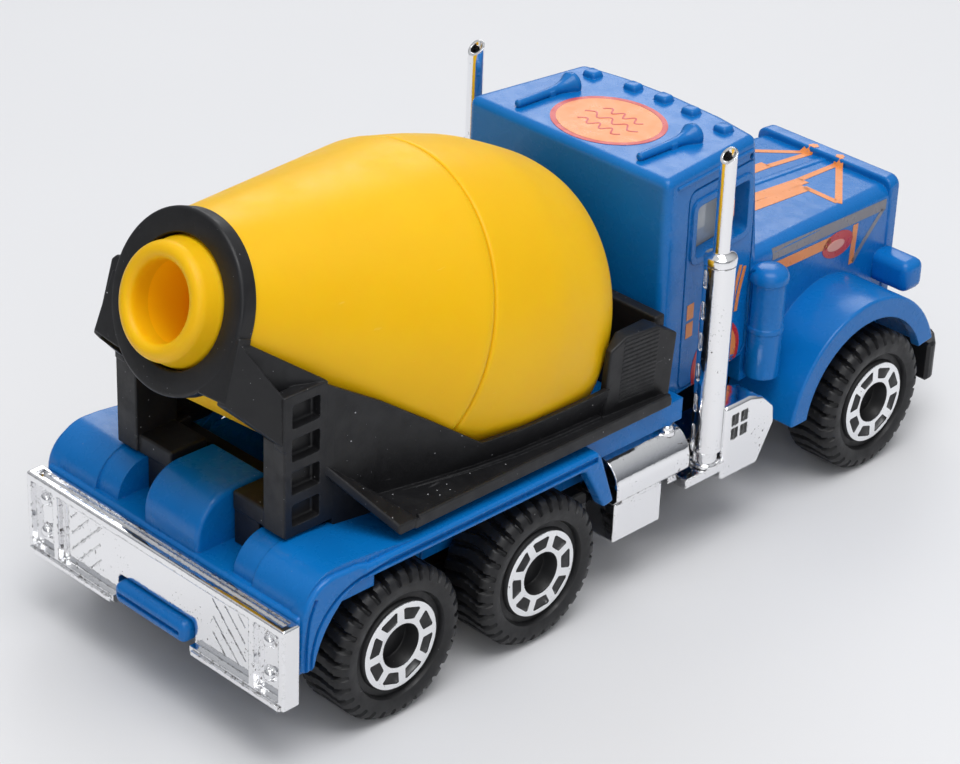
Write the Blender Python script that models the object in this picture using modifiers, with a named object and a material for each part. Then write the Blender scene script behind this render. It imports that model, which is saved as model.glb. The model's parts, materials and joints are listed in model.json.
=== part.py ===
"""Toy cement mixer truck: die-cast body, black base, chromed trim, mixer frame, turning drum, six wheels.

All dimensions below are millimetres.  A position along the truck is given as its distance ahead of the rear
face of the rear panel (d), a height as its distance above the ground (z), and x runs to the truck's left.
The truck faces -Y and its wheels stand on z = 0.
"""
import bpy
import bmesh
import math
from mathutils import Matrix, Vector

MM = 0.001
REAR = 38.25            # y of the rear panel's rear face

# running gear
WHEEL_R = 6.11
WHEEL_OUT = 14.8        # x of a wheel's outer face
WHEEL_IN = 9.9
AXLES = {"front": 65.15, "middle": 25.54, "rear": 11.15}
AXLE_R = 0.50
AXLE_HALF = 13.1
BORE_R = 0.57

# drum axis: a point on it and its fall towards the cab
DRUM_D, DRUM_Z, DRUM_TILT = 2.74, 31.1, 19.7
SEAM_S = 19.5           # distance of the shells' seam along the axis
SEAM_GAP = 0.05
PIVOT_R, PIVOT_BORE_R = 1.0, 1.07

# bodywork
DECK_Z = 14.2
DECK_HALF = 14.5
CAB_REAR_D, ROOF_Z = 41.64, 32.0
CAB_FLOOR_Z = 12.3
STACK_X, STACK_D = 13.45, 45.13

for old in list(bpy.data.objects):
    bpy.data.objects.remove(old, do_unlink=True)

parts = bpy.data.collections.new("toy_cement_mixer_truck")
cutters = bpy.data.collections.new("cutters")
for group in (parts, cutters):
    bpy.context.scene.collection.children.link(group)


def at(x, d, z):
    """World position in metres of a point given in the truck's own measures."""
    return Vector((x, REAR - d, z)) * MM


def material(name, colour, metallic=0.0, roughness=0.5):
    made = bpy.data.materials.new(name)
    made.use_nodes = True
    shader = made.node_tree.nodes["Principled BSDF"]
    shader.inputs["Base Color"].default_value = (*colour, 1.0)
    shader.inputs["Metallic"].default_value = metallic
    shader.inputs["Roughness"].default_value = roughness
    return made


def keep(obj, colour=None):
    """Put an object among the parts when it has a material, otherwise among the cutters."""
    if colour is None:
        cutters.objects.link(obj)
        obj.hide_render = True
        obj.display_type = "WIRE"
    else:
        parts.objects.link(obj)
        obj.data.materials.clear()
        obj.data.materials.append(material(obj.name + "_material", *colour))
    return obj


def from_bmesh(name, bm, colour=None):
    mesh = bpy.data.meshes.new(name)
    bmesh.ops.recalc_face_normals(bm, faces=bm.faces)
    bm.to_mesh(mesh)
    bm.free()
    return keep(bpy.data.objects.new(name, mesh), colour)


def block(name, x, d, z, colour=None):
    """Box between pairs of x, d and z."""
    bm = bmesh.new()
    bmesh.ops.create_cube(bm, size=1.0)
    low, high = at(x[0], d[1], z[0]), at(x[1], d[0], z[1])
    for vert in bm.verts:
        vert.co = Vector([low[i] + (vert.co[i] + 0.5) * (high[i] - low[i]) for i in range(3)])
    return from_bmesh(name, bm, colour)


def loft(name, sections, colour=None):
    """Closed solid through sections that have the same number of corners."""
    bm = bmesh.new()
    rings = [[bm.verts.new(at(*corner)) for corner in section] for section in sections]
    count = len(rings[0])
    for ring, following in zip(rings, rings[1:]):
        for i in range(count):
            j = (i + 1) % count
            bm.faces.new((ring[i], ring[j], following[j], following[i]))
    bm.faces.new(rings[0])
    bm.faces.new(rings[-1])
    return from_bmesh(name, bm, colour)


def from_curve(name, outline, depth, place, colour=None):
    """Flat outline filled and extruded, then turned into a mesh that stands where place puts it."""
    curve = bpy.data.curves.new(name + "_outline", "CURVE")
    curve.dimensions = "2D"
    curve.fill_mode = "BOTH"
    curve.extrude = depth * MM / 2
    spline = curve.splines.new("POLY")
    spline.points.add(len(outline) - 1)
    for point, (u, v) in zip(spline.points, outline):
        point.co = (u * MM, v * MM, 0.0, 1.0)
    spline.use_cyclic_u = True
    drawn = bpy.data.objects.new(name + "_outline", curve)
    bpy.context.scene.collection.objects.link(drawn)
    graph = bpy.context.evaluated_depsgraph_get()
    mesh = bpy.data.meshes.new_from_object(drawn.evaluated_get(graph))
    bpy.data.objects.remove(drawn)
    bm = bmesh.new()
    bm.from_mesh(mesh)
    bmesh.ops.remove_doubles(bm, verts=bm.verts, dist=1e-7)
    bmesh.ops.transform(bm, matrix=place, verts=bm.verts)
    return from_bmesh(name, bm, colour)


def side_prism(name, outline, x, colour=None):
    """Side view outline of (d, z) corners carried between two x."""
    centre = Matrix.Translation(at((x[0] + x[1]) / 2, 0, 0))
    turn = Matrix(((0, 0, 1, 0), (-1, 0, 0, 0), (0, 1, 0, 0), (0, 0, 0, 1)))
    return from_curve(name, outline, x[1] - x[0], centre @ turn, colour)


def plan_prism(name, outline, z, colour=None):
    """Plan view outline of (x, d) corners carried between two heights."""
    centre = Matrix.Translation(at(0, 0, (z[0] + z[1]) / 2))
    turn = Matrix(((1, 0, 0, 0), (0, -1, 0, 0), (0, 0, 1, 0), (0, 0, 0, 1)))
    return from_curve(name, outline, z[1] - z[0], centre @ turn, colour)


def turned(name, profile, steps, place, colour=None, closed=False):
    """Profile of (radius, height) spun about its own Z axis, then placed."""
    mesh = bpy.data.meshes.new(name)
    count = len(profile)
    edges = [(i, i + 1) for i in range(count - 1)] + ([(count - 1, 0)] if closed else [])
    mesh.from_pydata([(r * MM, 0.0, h * MM) for r, h in profile], edges, [])
    obj = bpy.data.objects.new(name, mesh)
    obj.matrix_world = place
    screw = obj.modifiers.new("turn", "SCREW")
    screw.axis = "Z"
    screw.steps = screw.render_steps = steps
    screw.use_merge_vertices = True
    screw.merge_threshold = 1e-6
    screw.use_smooth_shade = True
    return keep(obj, colour)


def bevelled(obj, width, segments=2, angle=32):
    bevel = obj.modifiers.new("edges", "BEVEL")
    bevel.width = width * MM
    bevel.segments = segments
    bevel.limit_method = "ANGLE"
    bevel.angle_limit = math.radians(angle)
    return obj


def mirrored(obj):
    mirror = obj.modifiers.new("other_side", "MIRROR")
    mirror.use_axis[0] = True
    mirror.merge_threshold = 1e-6
    return obj


def combine(obj, operation, others, solver="EXACT"):
    for other in others:
        step = obj.modifiers.new(other.name, "BOOLEAN")
        step.operation = operation
        step.solver = solver
        step.object = other
    return obj


def upright(x, d, z=0.0):
    return Matrix.Translation(at(x, d, z))


def across(x, d, z):
    """Axis along x, its height running to the truck's left."""
    return Matrix.Translation(at(x, d, z)) @ Matrix.Rotation(math.radians(90), 4, "Y")


def along_drum(s=0.0):
    """Axis along the drum, its height running forwards and down towards the cab."""
    forward = Vector((0, -math.cos(math.radians(DRUM_TILT)), -math.sin(math.radians(DRUM_TILT))))
    spin = Vector((0, 0, 1)).rotation_difference(forward).to_matrix().to_4x4()
    return Matrix.Translation(at(0, DRUM_D, DRUM_Z) + forward * s * MM) @ spin


def drum_plane(x, up, s=0.0):
    """Truck measures of a point in the plane of the mixer ring, up being measured along that plane."""
    tilt = math.radians(DRUM_TILT)
    return (x, DRUM_D + up * math.sin(tilt) + s * math.cos(tilt),
            DRUM_Z + up * math.cos(tilt) - s * math.sin(tilt))


def arc(centre, radius, start, stop, count):
    """Points of an arc about centre, angles in degrees from the forward direction towards up."""
    points = []
    for i in range(count + 1):
        angle = math.radians(start + (stop - start) * i / count)
        points.append((centre[0] + radius * math.cos(angle), centre[1] + radius * math.sin(angle)))
    return points


BLUE = ((0.012, 0.105, 0.50), 0.0, 0.25)
BLACK = ((0.018, 0.018, 0.019), 0.0, 0.55)
CHROME = ((0.86, 0.87, 0.88), 1.0, 0.12)
YELLOW = ((0.86, 0.50, 0.02), 0.0, 0.4)
STEEL = ((0.60, 0.60, 0.60), 1.0, 0.3)
RUBBER = ((0.014, 0.014, 0.015), 0.0, 0.6)
TINT = ((0.45, 0.47, 0.50), 0.0, 0.08)

# ---------------------------------------------------------------- die-cast body
# cab: walls converge towards the windscreen, roof front slightly bowed
def cab_section(z, inset, rear, front, side_rear, side_front):
    return [(side_rear - inset, rear, z), (side_front - inset, front - 1.0, z), (5.0, front - 0.25, z),
            (0.0, front, z), (-5.0, front - 0.25, z), (-side_front + inset, front - 1.0, z),
            (-side_rear + inset, rear, z)]


cab = loft("body_casting", [
    cab_section(CAB_FLOOR_Z, 0.0, CAB_REAR_D, 56.2, 10.95, 9.35),
    cab_section(22.0, 0.0, CAB_REAR_D, 55.7, 10.85, 9.35),
    cab_section(ROOF_Z, 0.0, CAB_REAR_D, 54.5, 10.75, 9.35)], BLUE)
bevelled(cab, 0.75, 2)

deck = bevelled(block("deck", (-DECK_HALF, DECK_HALF), (2.2, 31.6), (13.05, DECK_Z)), 0.25, 1)
deck_front = block("deck_front", (-12.9, 12.9), (30.4, 42.6), (12.3, DECK_Z - 0.02))
rear_wall = bevelled(block("rear_wall", (-14.1, 14.1), (1.65, 3.0), (7.4, 13.3)), 0.3, 1)
skirt = mirrored(bevelled(side_prism("rear_skirt", [
    (1.77, 7.55), (3.1, 7.55), (3.5, 9.2), (4.6, 11.1), (6.8, 13.0), (8.6, 13.3), (8.6, 14.1), (2.5, 14.1),
    (1.77, 13.2)], (12.9, 14.45)), 0.2, 1))
flap = mirrored(bevelled(side_prism("fender_flap", [
    (30.2, 13.0), (32.4, 9.0), (33.5, 9.2), (31.9, 13.6), (31.5, 14.15), (29.6, 14.15), (29.6, 13.0)],
    (13.3, 14.48)), 0.2, 1))

# three humps across the tail, with slots between them for the frame's feet
def hump(name, centre_z, radius, x):
    outline = arc((5.2, centre_z), radius, 180, 90, 6) + [(8.6, centre_z + radius), (8.9, centre_z + 0.2),
                                                          (8.9, centre_z)]
    return bevelled(side_prism(name, outline, x), 0.25, 1, 50)


hump_middle = hump("hump_middle", 13.1, 3.3, (-3.05, 3.05))
hump_inner = mirrored(hump("hump_inner", 12.0, 2.9, (6.5, 9.2)))
hump_outer = mirrored(hump("hump_outer", 11.85, 3.15, (8.8, 14.0)))
tab = bevelled(block("tail_tab", (-4.0, 4.0), (-0.3, 2.6), (5.75, 7.55)), 0.55, 3)

# hood and radiator surround
def hood_section(d, half, top, low, round_off):
    side = [(half, d, low), (half, d, top - round_off), (half - 0.3 * round_off, d, top - 0.3 * round_off),
            (half - round_off, d, top)]
    return side + [(-x, d, z) for x, d, z in reversed(side)]


hood = loft("hood", [hood_section(53.5, 9.5, 21.5, 10.2, 1.2), hood_section(75.0, 7.25, 20.35, 10.2, 1.2)])
surround = bevelled(loft("radiator_surround", [hood_section(74.3, 7.45, 21.0, 10.0, 0.9),
                                               hood_section(75.7, 7.30, 21.0, 10.0, 0.9)]), 0.2, 1)
fender = mirrored(bevelled(side_prism("front_fender", arc((64.6, 6.0), 9.4, 18, 174, 13) + [(57.2, 7.0),
                                                                                       (73.2, 8.9)],
                                      (6.8, 14.0)), 1.1, 2, 40))
pod = mirrored(bevelled(block("headlight_pod", (6.9, 11.2), (72.6, 75.2), (12.1, 14.9)), 0.7, 2))

cleaners, horns, lamps = [], [], []
for side, label in ((1, "left"), (-1, "right")):
    cleaners.append(turned("air_cleaner_" + label, [
        (0, 20.7), (1.35, 20.7), (1.65, 20.4), (1.65, 19.5), (1.45, 19.3), (1.45, 11.0), (0, 11.0)], 16,
        upright(side * 10.6, 54.9)))
    horns.append(turned("horn_" + label, [
        (0, 6.5), (0.95, 6.5), (1.0, 6.1), (0.55, 5.3), (0.36, 4.6), (0.32, 0.1), (0, 0.1)], 10,
        Matrix.Translation(at(side * 6.5, 42.7, 32.3)) @ Matrix.Rotation(math.radians(90), 4, "X")))
for i, (x, d) in enumerate(((-7.0, 52.0), (-3.1, 52.6), (0.0, 52.8), (3.1, 52.6), (7.0, 52.0))):
    lamps.append(bevelled(block("roof_lamp_%d" % (i + 1), (x - 0.75, x + 0.75), (d - 0.55, d + 0.75),
                                (31.6, 32.45)), 0.3, 1))
posts = [turned("rivet_post_rear", [(0, 13.6), (1.2, 13.6), (1.2, 4.35), (0, 4.35)], 16, upright(0, 39.4)),
         turned("rivet_post_front", [(0, 20.4), (1.2, 20.4), (1.2, 4.35), (0, 4.35)], 16, upright(0, 58.0))]

combine(cab, "UNION", [deck, deck_front, rear_wall, skirt])
combine(cab, "UNION", [flap, hump_middle, hump_inner, hump_outer, tab, hood, surround, fender, pod] + cleaners +
        horns + lamps, "MANIFOLD")

# hollows of the casting
cab_cavity = loft("cab_cavity", [
    cab_section(CAB_FLOOR_Z - 1.0, 1.1, CAB_REAR_D + 1.1, 55.2, 10.95, 9.35),
    cab_section(30.9, 1.1, CAB_REAR_D + 1.1, 53.4, 10.75, 9.35)])
hood_cavity = loft("hood_cavity", [hood_section(54.0, 7.9, 19.9, 9.0, 0.8),
                                   hood_section(73.6, 6.2, 18.9, 9.0, 0.8)])
grille_opening = block("grille_opening", (-6.3, 6.3), (73.0, 76.2), (9.0, 19.9))
wheel_arch = mirrored(side_prism("wheel_arch", arc((64.6, 6.0), 7.6, 0, 360, 32)[:-1], (8.8, 15.0)))
fender_hollow = mirrored(side_prism("fender_hollow", arc((64.6, 6.0), 8.2, 0, 180, 16), (8.9, 13.1)))
drum_well = plan_prism("drum_well", [(8.0, 8.95), (8.0, 11.5), (10.3, 16.5), (10.9, 21.0), (10.9, 32.5), (8.0, 36.9),
                                     (-8.0, 36.9), (-10.9, 32.5), (-10.9, 21.0), (-10.3, 16.5), (-8.0, 11.5),
                                     (-8.0, 8.95)], (12.0, 15.5))
side_window = block("side_window", (-12.5, 12.5), (45.6, 52.6), (24.2, 28.65))
bevelled(side_window, 0.5, 2)
screens = [bevelled(block("windscreen_" + label, x, (52.6, 57.5), (23.4, 29.9)), 0.4, 2)
           for label, x in (("left", (0.45, 8.1)), ("right", (-8.1, -0.45)))]
tongue_slot = block("tongue_slot", (-7.5, 7.5), (1.0, 3.6), (10.85, 11.85))
combine(cab, "DIFFERENCE", [cab_cavity, hood_cavity, grille_opening, wheel_arch, fender_hollow, drum_well,
                            side_window] + screens + [tongue_slot], "MANIFOLD")
combine(cab, "UNION", posts, "MANIFOLD")

# ---------------------------------------------------------------- glazing
glass = loft("window_glazing", [
    cab_section(21.6, 1.25, CAB_REAR_D + 1.3, 54.1, 10.86, 9.35),
    cab_section(30.75, 1.25, CAB_REAR_D + 1.3, 53.25, 10.76, 9.35)], TINT)
combine(glass, "DIFFERENCE", [loft("glazing_hollow", [
    cab_section(20.6, 1.95, CAB_REAR_D + 2.0, 53.5, 10.86, 9.35),
    cab_section(30.1, 1.95, CAB_REAR_D + 2.0, 52.5, 10.76, 9.35)])])

# ---------------------------------------------------------------- base plate with bumper and grille
base = bevelled(plan_prism("base_plate", [
    (8.2, 3.4), (8.2, 54.0), (6.0, 57.5), (6.0, 74.0), (-6.0, 74.0), (-6.0, 57.5), (-8.2, 54.0), (-8.2, 3.4)],
    (4.6, 5.8), BLACK), 0.2, 1)
bumper = bevelled(plan_prism("front_bumper", [
    (13.9, 73.3), (13.9, 74.2), (12.4, 75.9), (9.0, 76.8), (-9.0, 76.8), (-12.4, 75.9), (-13.9, 74.2),
    (-13.9, 73.3)], (4.7, 8.3)), 0.25, 1)
grille = block("grille", (-6.1, 6.1), (74.5, 75.2), (5.0, 19.7))
bars = [block("grille_bar_%d" % (i + 1), (x - 0.22, x + 0.22), (75.0, 75.45), (9.2, 19.2))
        for i, x in enumerate([-5.4 + 1.2 * n for n in range(10)])]
bosses = [block("axle_boss_" + name, (-9.2, 9.2), (d - 1.4, d + 1.4), (4.45, 7.7)) for name, d in AXLES.items()]
bores = [turned("axle_bore_" + name, [(0, 11.0), (BORE_R, 11.0), (BORE_R, -11.0), (0, -11.0)], 20,
                across(0, d, WHEEL_R)) for name, d in AXLES.items()]
rivet_holes = [turned("rivet_hole_" + name, [(0, 9.0), (1.3, 9.0), (1.3, 3.0), (0, 3.0)], 20, upright(0, d))
               for name, d in (("rear", 39.4), ("front", 58.0))]
combine(base, "UNION", bosses)
combine(base, "UNION", [bumper, grille] + bars, "MANIFOLD")
combine(base, "DIFFERENCE", bores + rivet_holes, "MANIFOLD")

# ---------------------------------------------------------------- chromed rear panel
panel = bevelled(block("rear_panel", (-14.5, 14.5), (0.0, 1.6), (5.31, 12.08), CHROME), 0.15, 1)
recesses = [block("panel_field_" + str(i), x, (-0.5, 0.55), (5.85, 11.45))
            for i, x in enumerate(((-13.9, -11.35), (-10.8, 10.8), (11.35, 13.9)))]
studs = [turned("lamp_stud_%d" % i, [(0, 0.5), (0.25, 0.46), (0.45, 0.3), (0.5, 0.0), (0.5, -0.4), (0, -0.4)], 14,
                Matrix.Translation(at(x, 0.45, z)) @ Matrix.Rotation(math.radians(-90), 4, "X"))
         for i, (x, z) in enumerate(((12.6, 10.35), (12.6, 7.55), (-12.6, 10.35), (-12.6, 7.55)))]
notch = bevelled(block("panel_notch", (-4.35, 4.35), (-1.0, 2.0), (4.0, 7.75)), 0.4, 2)
tongue = block("panel_tongue", (-7.3, 7.3), (1.2, 12.6), (11.0, 11.7))
combine(panel, "DIFFERENCE", recesses + [notch])
combine(panel, "UNION", [tongue] + studs)

# ---------------------------------------------------------------- chromed tanks, steps and battery boxes
for side, label in ((1, "left"), (-1, "right")):
    outline = [(side * x, z) for x, z in
               [(10.4, 12.0), (12.5, 12.0)] + arc((11.9, 9.6), 2.4, 74, 0, 5) + [(14.3, 8.7), (13.9, 8.25), (10.4, 8.25)]]
    tank = loft("tank_step_" + label, [[(x, d, z) for x, z in outline] for d in (34.05, 42.3)], CHROME)
    bevelled(tank, 0.15, 1, 40)
    step = bevelled(block("step_" + label, tuple(sorted((side * 10.9, side * 14.1))), (34.1, 39.5),
                          (4.85, 8.4)), 0.2, 1)
    link = block("link_" + label, tuple(sorted((side * 11.6, side * 14.35))), (42.0, 46.6), (6.7, 7.55))
    web = block("web_" + label, tuple(sorted((side * 11.6, side * 13.0))), (41.4, 42.2), (6.8, 9.0))
    inner = block("inner_flange_" + label, tuple(sorted((side * 8.4, side * 11.6))), (35.0, 50.0), (7.2, 8.9))
    battery = side_prism("battery_box_" + label, [
        (46.5, 5.6), (50.9, 5.6), (52.7, 8.8), (52.5, 10.4), (51.0, 11.7), (49.5, 12.2), (46.5, 12.2)],
        tuple(sorted((side * 11.3, side * 14.2))))
    bevelled(battery, 0.35, 2)
    combine(tank, "UNION", [step, link, web, inner, battery])
    stack = turned("exhaust_stack_" + label, [
        (0, 30.8), (0.42, 30.8), (0.42, 34.55), (0.66, 34.55), (0.66, 26.2), (1.31, 25.75), (1.31, 25.3),
        (1.2, 25.15), (1.2, 7.62), (0, 7.62)], 20, upright(side * STACK_X, STACK_D), CHROME)
    mouth = block("stack_mouth_" + label, (side * STACK_X - 2, side * STACK_X + 2), (43.0, 47.5), (33.0, 36.5))
    lean = Matrix.Translation(at(0, STACK_D + 0.8, 34.7)) @ Matrix.Rotation(math.radians(-38), 4, "X") @ \
        Matrix.Translation(-at(0, STACK_D + 0.8, 33.0))
    mouth.data.transform(lean)
    combine(stack, "DIFFERENCE", [mouth])

# ---------------------------------------------------------------- mixer frame
RING_OUT, RING_IN, RING_T = 6.67, 4.80, 1.3
frame = turned("mixer_frame", [(RING_IN, 0.1), (RING_IN + 0.1, 0.0), (RING_OUT - 0.2, 0.0), (RING_OUT, 0.2),
                               (RING_OUT, RING_T), (RING_IN, RING_T)][::-1], 48, along_drum(), BLACK, closed=True)

# side walls, leaning outwards round the drum: d, top x, top z, foot x, foot z
WALL = [(4.75, 9.30, 26.55, 9.30, 15.2), (8.6, 9.30, 26.3, 9.30, 15.2), (9.2, 9.40, 25.95, 9.30, 15.2),
        (9.25, 9.40, 25.9, 9.30, 14.25), (13.0, 10.25, 23.7, 9.40, 14.25), (17.0, 11.40, 21.0, 10.45, 14.25),
        (21.1, 12.30, 18.1, 11.40, 14.25), (25.0, 12.85, 18.1, 12.00, 14.25), (29.5, 12.95, 18.1, 12.25, 14.25),
        (34.0, 12.95, 18.1, 12.35, 14.25)]
wall = loft("side_wall", [[(foot_x, d, foot), (foot_x, d, 15.95), (top_x, d, top), (top_x - 0.45, d, top),
                           (foot_x - 0.45, d, 15.95), (foot_x - 0.45, d, foot)]
                          for d, top_x, top, foot_x, foot in WALL])
wing = loft("wing", [[drum_plane(6.9, -0.4, 0.08), drum_plane(7.7, -5.2, 0.08), drum_plane(6.3, -5.2, 0.08),
                      drum_plane(5.8, -0.4, 0.08)],
                     [(9.25, 4.8, 26.5), (9.25, 4.8, 22.5), (8.2, 4.8, 22.5), (8.2, 4.8, 26.5)]])
plate = loft("ring_plate", [
    [drum_plane(x, up, s) for x, up in ((5.3, -0.15), (6.9, -0.15), (7.7, -5.1), (4.35, -5.1), (4.0, -4.2))]
    for s in (0.03, 1.2)])
ladder = block("ladder", (7.0, 9.28), (4.65, 8.55), (15.2, 22.7))
ladder_head = block("ladder_head", (8.2, 9.32), (4.6, 8.7), (22.2, 26.6))
shelf = loft("shelf", [[(x, d, 14.9), (14.0, d, 14.9), (14.0, d, 15.7), (x, d, 15.7)]
                       for x, d in ((9.12, 12.9), (10.17, 16.8), (11.13, 20.9), (11.73, 24.7), (12.0, 29.2), (12.13, 33.4),
                                    (12.3, 40.0))])
flange = loft("flange", [[(9.0, 8.3, 20.1), (13.95, 11.4, 15.75), (13.95, 13.2, 15.75), (9.1, 13.3, 15.75)],
                         [(9.0, 8.3, 19.2), (13.95, 11.4, 14.95), (13.95, 13.2, 14.95), (9.1, 13.3, 14.95)]])
bulk = loft("front_block", [
    [(11.75, 33.75, 14.3), (12.55, 33.75, 14.3), (13.0, 33.75, 21.3), (12.4, 33.75, 21.3)],
    [(11.7, 35.4, 14.3), (12.65, 35.4, 14.3), (13.1, 35.4, 22.1), (11.8, 35.4, 22.1)],
    [(11.6, 38.6, 14.3), (12.9, 38.6, 14.3), (13.3, 38.6, 22.0), (11.6, 38.6, 22.0)],
    [(11.9, 40.55, 14.3), (13.1, 40.55, 14.3), (13.6, 40.55, 20.9), (11.9, 40.55, 20.9)]])
cross_wall = block("cross_wall", (-12.2, 12.2), (39.5, 40.6), (14.25, 21.95))
cross_bar = block("cross_bar", (-9.1, 9.1), (9.3, 10.6), (14.25, 15.3))
foot = block("foot_block", (3.4, 7.4), (4.9, 8.4), (15.0, 16.6))
peg = block("foot_peg", (3.5, 6.2), (5.0, 8.2), (14.28, 15.6))
rail = block("foot_rail", (6.8, 7.6), (8.1, 9.7), (15.1, 16.4))
for piece in (wall, wing, plate, ladder, ladder_head, shelf, flange, bulk, foot, peg, rail):
    mirrored(piece)
combine(frame, "UNION", [plate, wing, ladder, ladder_head, wall])
combine(frame, "UNION", [shelf, flange, cross_wall, bulk, cross_bar, foot, peg, rail], "MANIFOLD")
gaps = [mirrored(block("ladder_gap_%d" % (i + 1), (8.45, 10.0), (5.35, 7.95), z))
        for i, z in enumerate(((23.9, 25.8), (21.25, 23.1), (18.6, 20.45), (16.0, 17.8)))]
pivot_bore = turned("pivot_bore", [(0, 42.0), (PIVOT_BORE_R, 42.0), (PIVOT_BORE_R, 37.5), (0, 37.5)], 24,
                    along_drum())
combine(frame, "DIFFERENCE", gaps + [pivot_bore], "MANIFOLD")

# ---------------------------------------------------------------- drum
# the mouth stands behind the ring, the collar turns in the ring and the nose pin in the cross wall
REAR_SHELL = [(12.55, SEAM_S - SEAM_GAP), (6.5, 1.5), (6.4, 1.42), (4.72, 1.42), (4.72, 0.4), (4.4, 0.3),
              (4.4, -1.0), (4.2, -1.5), (3.8, -1.8), (3.3, -1.8), (2.9, -1.5), (2.8, -1.0), (2.8, 0.4),
              (5.3, 2.4), (11.6, SEAM_S - SEAM_GAP)]
FRONT_SHELL = [(0.0, 39.9), (0.85, 39.9), (PIVOT_R, 39.75), (PIVOT_R, 37.9), (2.5, 37.75), (5.4, 37.2),
               (8.0, 36.35), (10.0, 35.3), (11.45, 34.0), (12.2, 32.5), (12.5, 30.9), (12.9, 27.4), (13.0, 25.9),
               (12.95, 24.5), (12.62, SEAM_S + SEAM_GAP), (11.67, SEAM_S + SEAM_GAP), (12.05, 25.9),
               (11.6, 30.8), (10.5, 33.5), (9.2, 34.8), (7.4, 35.7), (5.0, 36.4), (0.0, 36.8)]
turned("drum_rear_shell", REAR_SHELL, 40, along_drum(), YELLOW, closed=True)
turned("drum_front_shell", FRONT_SHELL, 40, along_drum(), YELLOW)

# ---------------------------------------------------------------- axles and wheels
WHEEL = [(0.0, 13.95), (1.5, 13.95), (1.55, 14.6), (3.55, 14.6), (3.7, 14.2), (4.2, 14.2), (4.4, 14.75),
         (5.4, WHEEL_OUT), (WHEEL_R, 14.1), (WHEEL_R, 10.5), (5.5, WHEEL_IN), (1.4, WHEEL_IN), (BORE_R, WHEEL_IN),
         (BORE_R, 13.3), (0.0, 13.3)]
for name, d in AXLES.items():
    turned("axle_" + name, [(0, AXLE_HALF), (AXLE_R - 0.1, AXLE_HALF), (AXLE_R, AXLE_HALF - 0.1),
                            (AXLE_R, 0.1 - AXLE_HALF), (AXLE_R - 0.1, -AXLE_HALF), (0, -AXLE_HALF)], 20,
           across(0, d, WHEEL_R), STEEL)
    for side, label in ((1, "left"), (-1, "right")):
        centre = 12.35
        place = across(side * centre, d, WHEEL_R) @ Matrix.Rotation(0.0 if side > 0 else math.pi, 4, "X")
        turned("wheel_%s_%s" % (name, label), [(r, h - centre) for r, h in WHEEL], 28, place, RUBBER)
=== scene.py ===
"""Looks of a toy cement mixer truck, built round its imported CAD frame.

Dimensions are millimetres.  A place on the truck is given as x, to its left, d, the distance ahead of the
rear panel's rear face, and z, the height above the ground.  The truck faces -Y, its wheels on z = 0.
"""
import bpy
import bmesh
import json
from math import asin, cos, pi, radians, sin
from mathutils import Matrix, Vector
from mathutils.bvhtree import BVHTree

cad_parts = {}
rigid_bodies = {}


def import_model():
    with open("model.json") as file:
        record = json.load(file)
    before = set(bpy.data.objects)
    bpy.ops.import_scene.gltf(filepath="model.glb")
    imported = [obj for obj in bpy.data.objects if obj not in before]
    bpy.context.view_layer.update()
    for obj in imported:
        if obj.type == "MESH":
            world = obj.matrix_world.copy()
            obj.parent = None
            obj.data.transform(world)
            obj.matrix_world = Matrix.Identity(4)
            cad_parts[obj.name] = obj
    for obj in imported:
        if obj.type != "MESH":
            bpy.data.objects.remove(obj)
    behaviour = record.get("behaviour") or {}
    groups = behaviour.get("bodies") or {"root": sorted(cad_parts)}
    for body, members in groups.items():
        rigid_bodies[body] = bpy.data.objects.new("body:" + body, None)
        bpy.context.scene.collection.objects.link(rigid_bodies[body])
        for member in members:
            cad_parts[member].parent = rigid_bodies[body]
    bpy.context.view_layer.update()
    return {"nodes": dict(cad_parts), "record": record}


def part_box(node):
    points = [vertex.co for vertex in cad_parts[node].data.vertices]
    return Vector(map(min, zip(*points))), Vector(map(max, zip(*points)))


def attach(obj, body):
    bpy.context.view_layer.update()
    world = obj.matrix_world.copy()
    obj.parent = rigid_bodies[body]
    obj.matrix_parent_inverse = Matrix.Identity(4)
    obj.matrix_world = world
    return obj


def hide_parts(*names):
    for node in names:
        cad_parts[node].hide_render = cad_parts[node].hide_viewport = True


MM = 0.001
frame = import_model()


def extent(node):
    low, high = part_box(node)
    return low / MM, high / MM


# places taken from the frame
TAB_PROUD = 0.3
REAR = extent("body_casting")[1].y - TAB_PROUD          # y of the rear panel's rear face
AXLES = {}
for axle in ("front", "middle", "rear"):
    wheel_low, wheel_high = extent("wheel_%s_left" % axle)
    AXLES[axle] = REAR - (wheel_low.y + wheel_high.y) / 2
WHEEL_R = wheel_high.z / 2
WHEEL_IN, WHEEL_OUT = wheel_low.x, wheel_high.x
stack_low, stack_high = extent("exhaust_stack_left")
STACK_X = (stack_low.x + stack_high.x) / 2
STACK_D = REAR - (stack_low.y + stack_high.y) / 2
drum_joint = next(j for j in frame["record"]["behaviour"]["joints"] if j["name"] == "drum_spin")
DRUM_D = REAR - drum_joint["pos_m"][1] / MM
DRUM_Z = drum_joint["pos_m"][2] / MM
DRUM_TILT = asin(-drum_joint["axis"][2])

# bodywork sizes, as in the CAD
SEAM_S, SEAM_GAP = 19.5, 0.05
DECK_Z, DECK_HALF = 14.2, 14.5
CAB_REAR_D, ROOF_Z, CAB_FLOOR_Z = 41.64, 32, 12.3
RING_OUT, RING_IN, RING_T = 6.67, 4.8, 1.3
ARCH_D, ARCH_Z, ARCH_R = 64.6, 6, 7.6
SIDES = ((1, "left"), (-1, "right"))

scratch = bpy.data.collections.new("scratch")
bpy.context.scene.collection.children.link(scratch)


# ---------------- shaping helpers
def at(x, d, z):
    """World position in metres of a point given in the truck's own measures."""
    return Vector((x, REAR - d, z)) * MM


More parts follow.
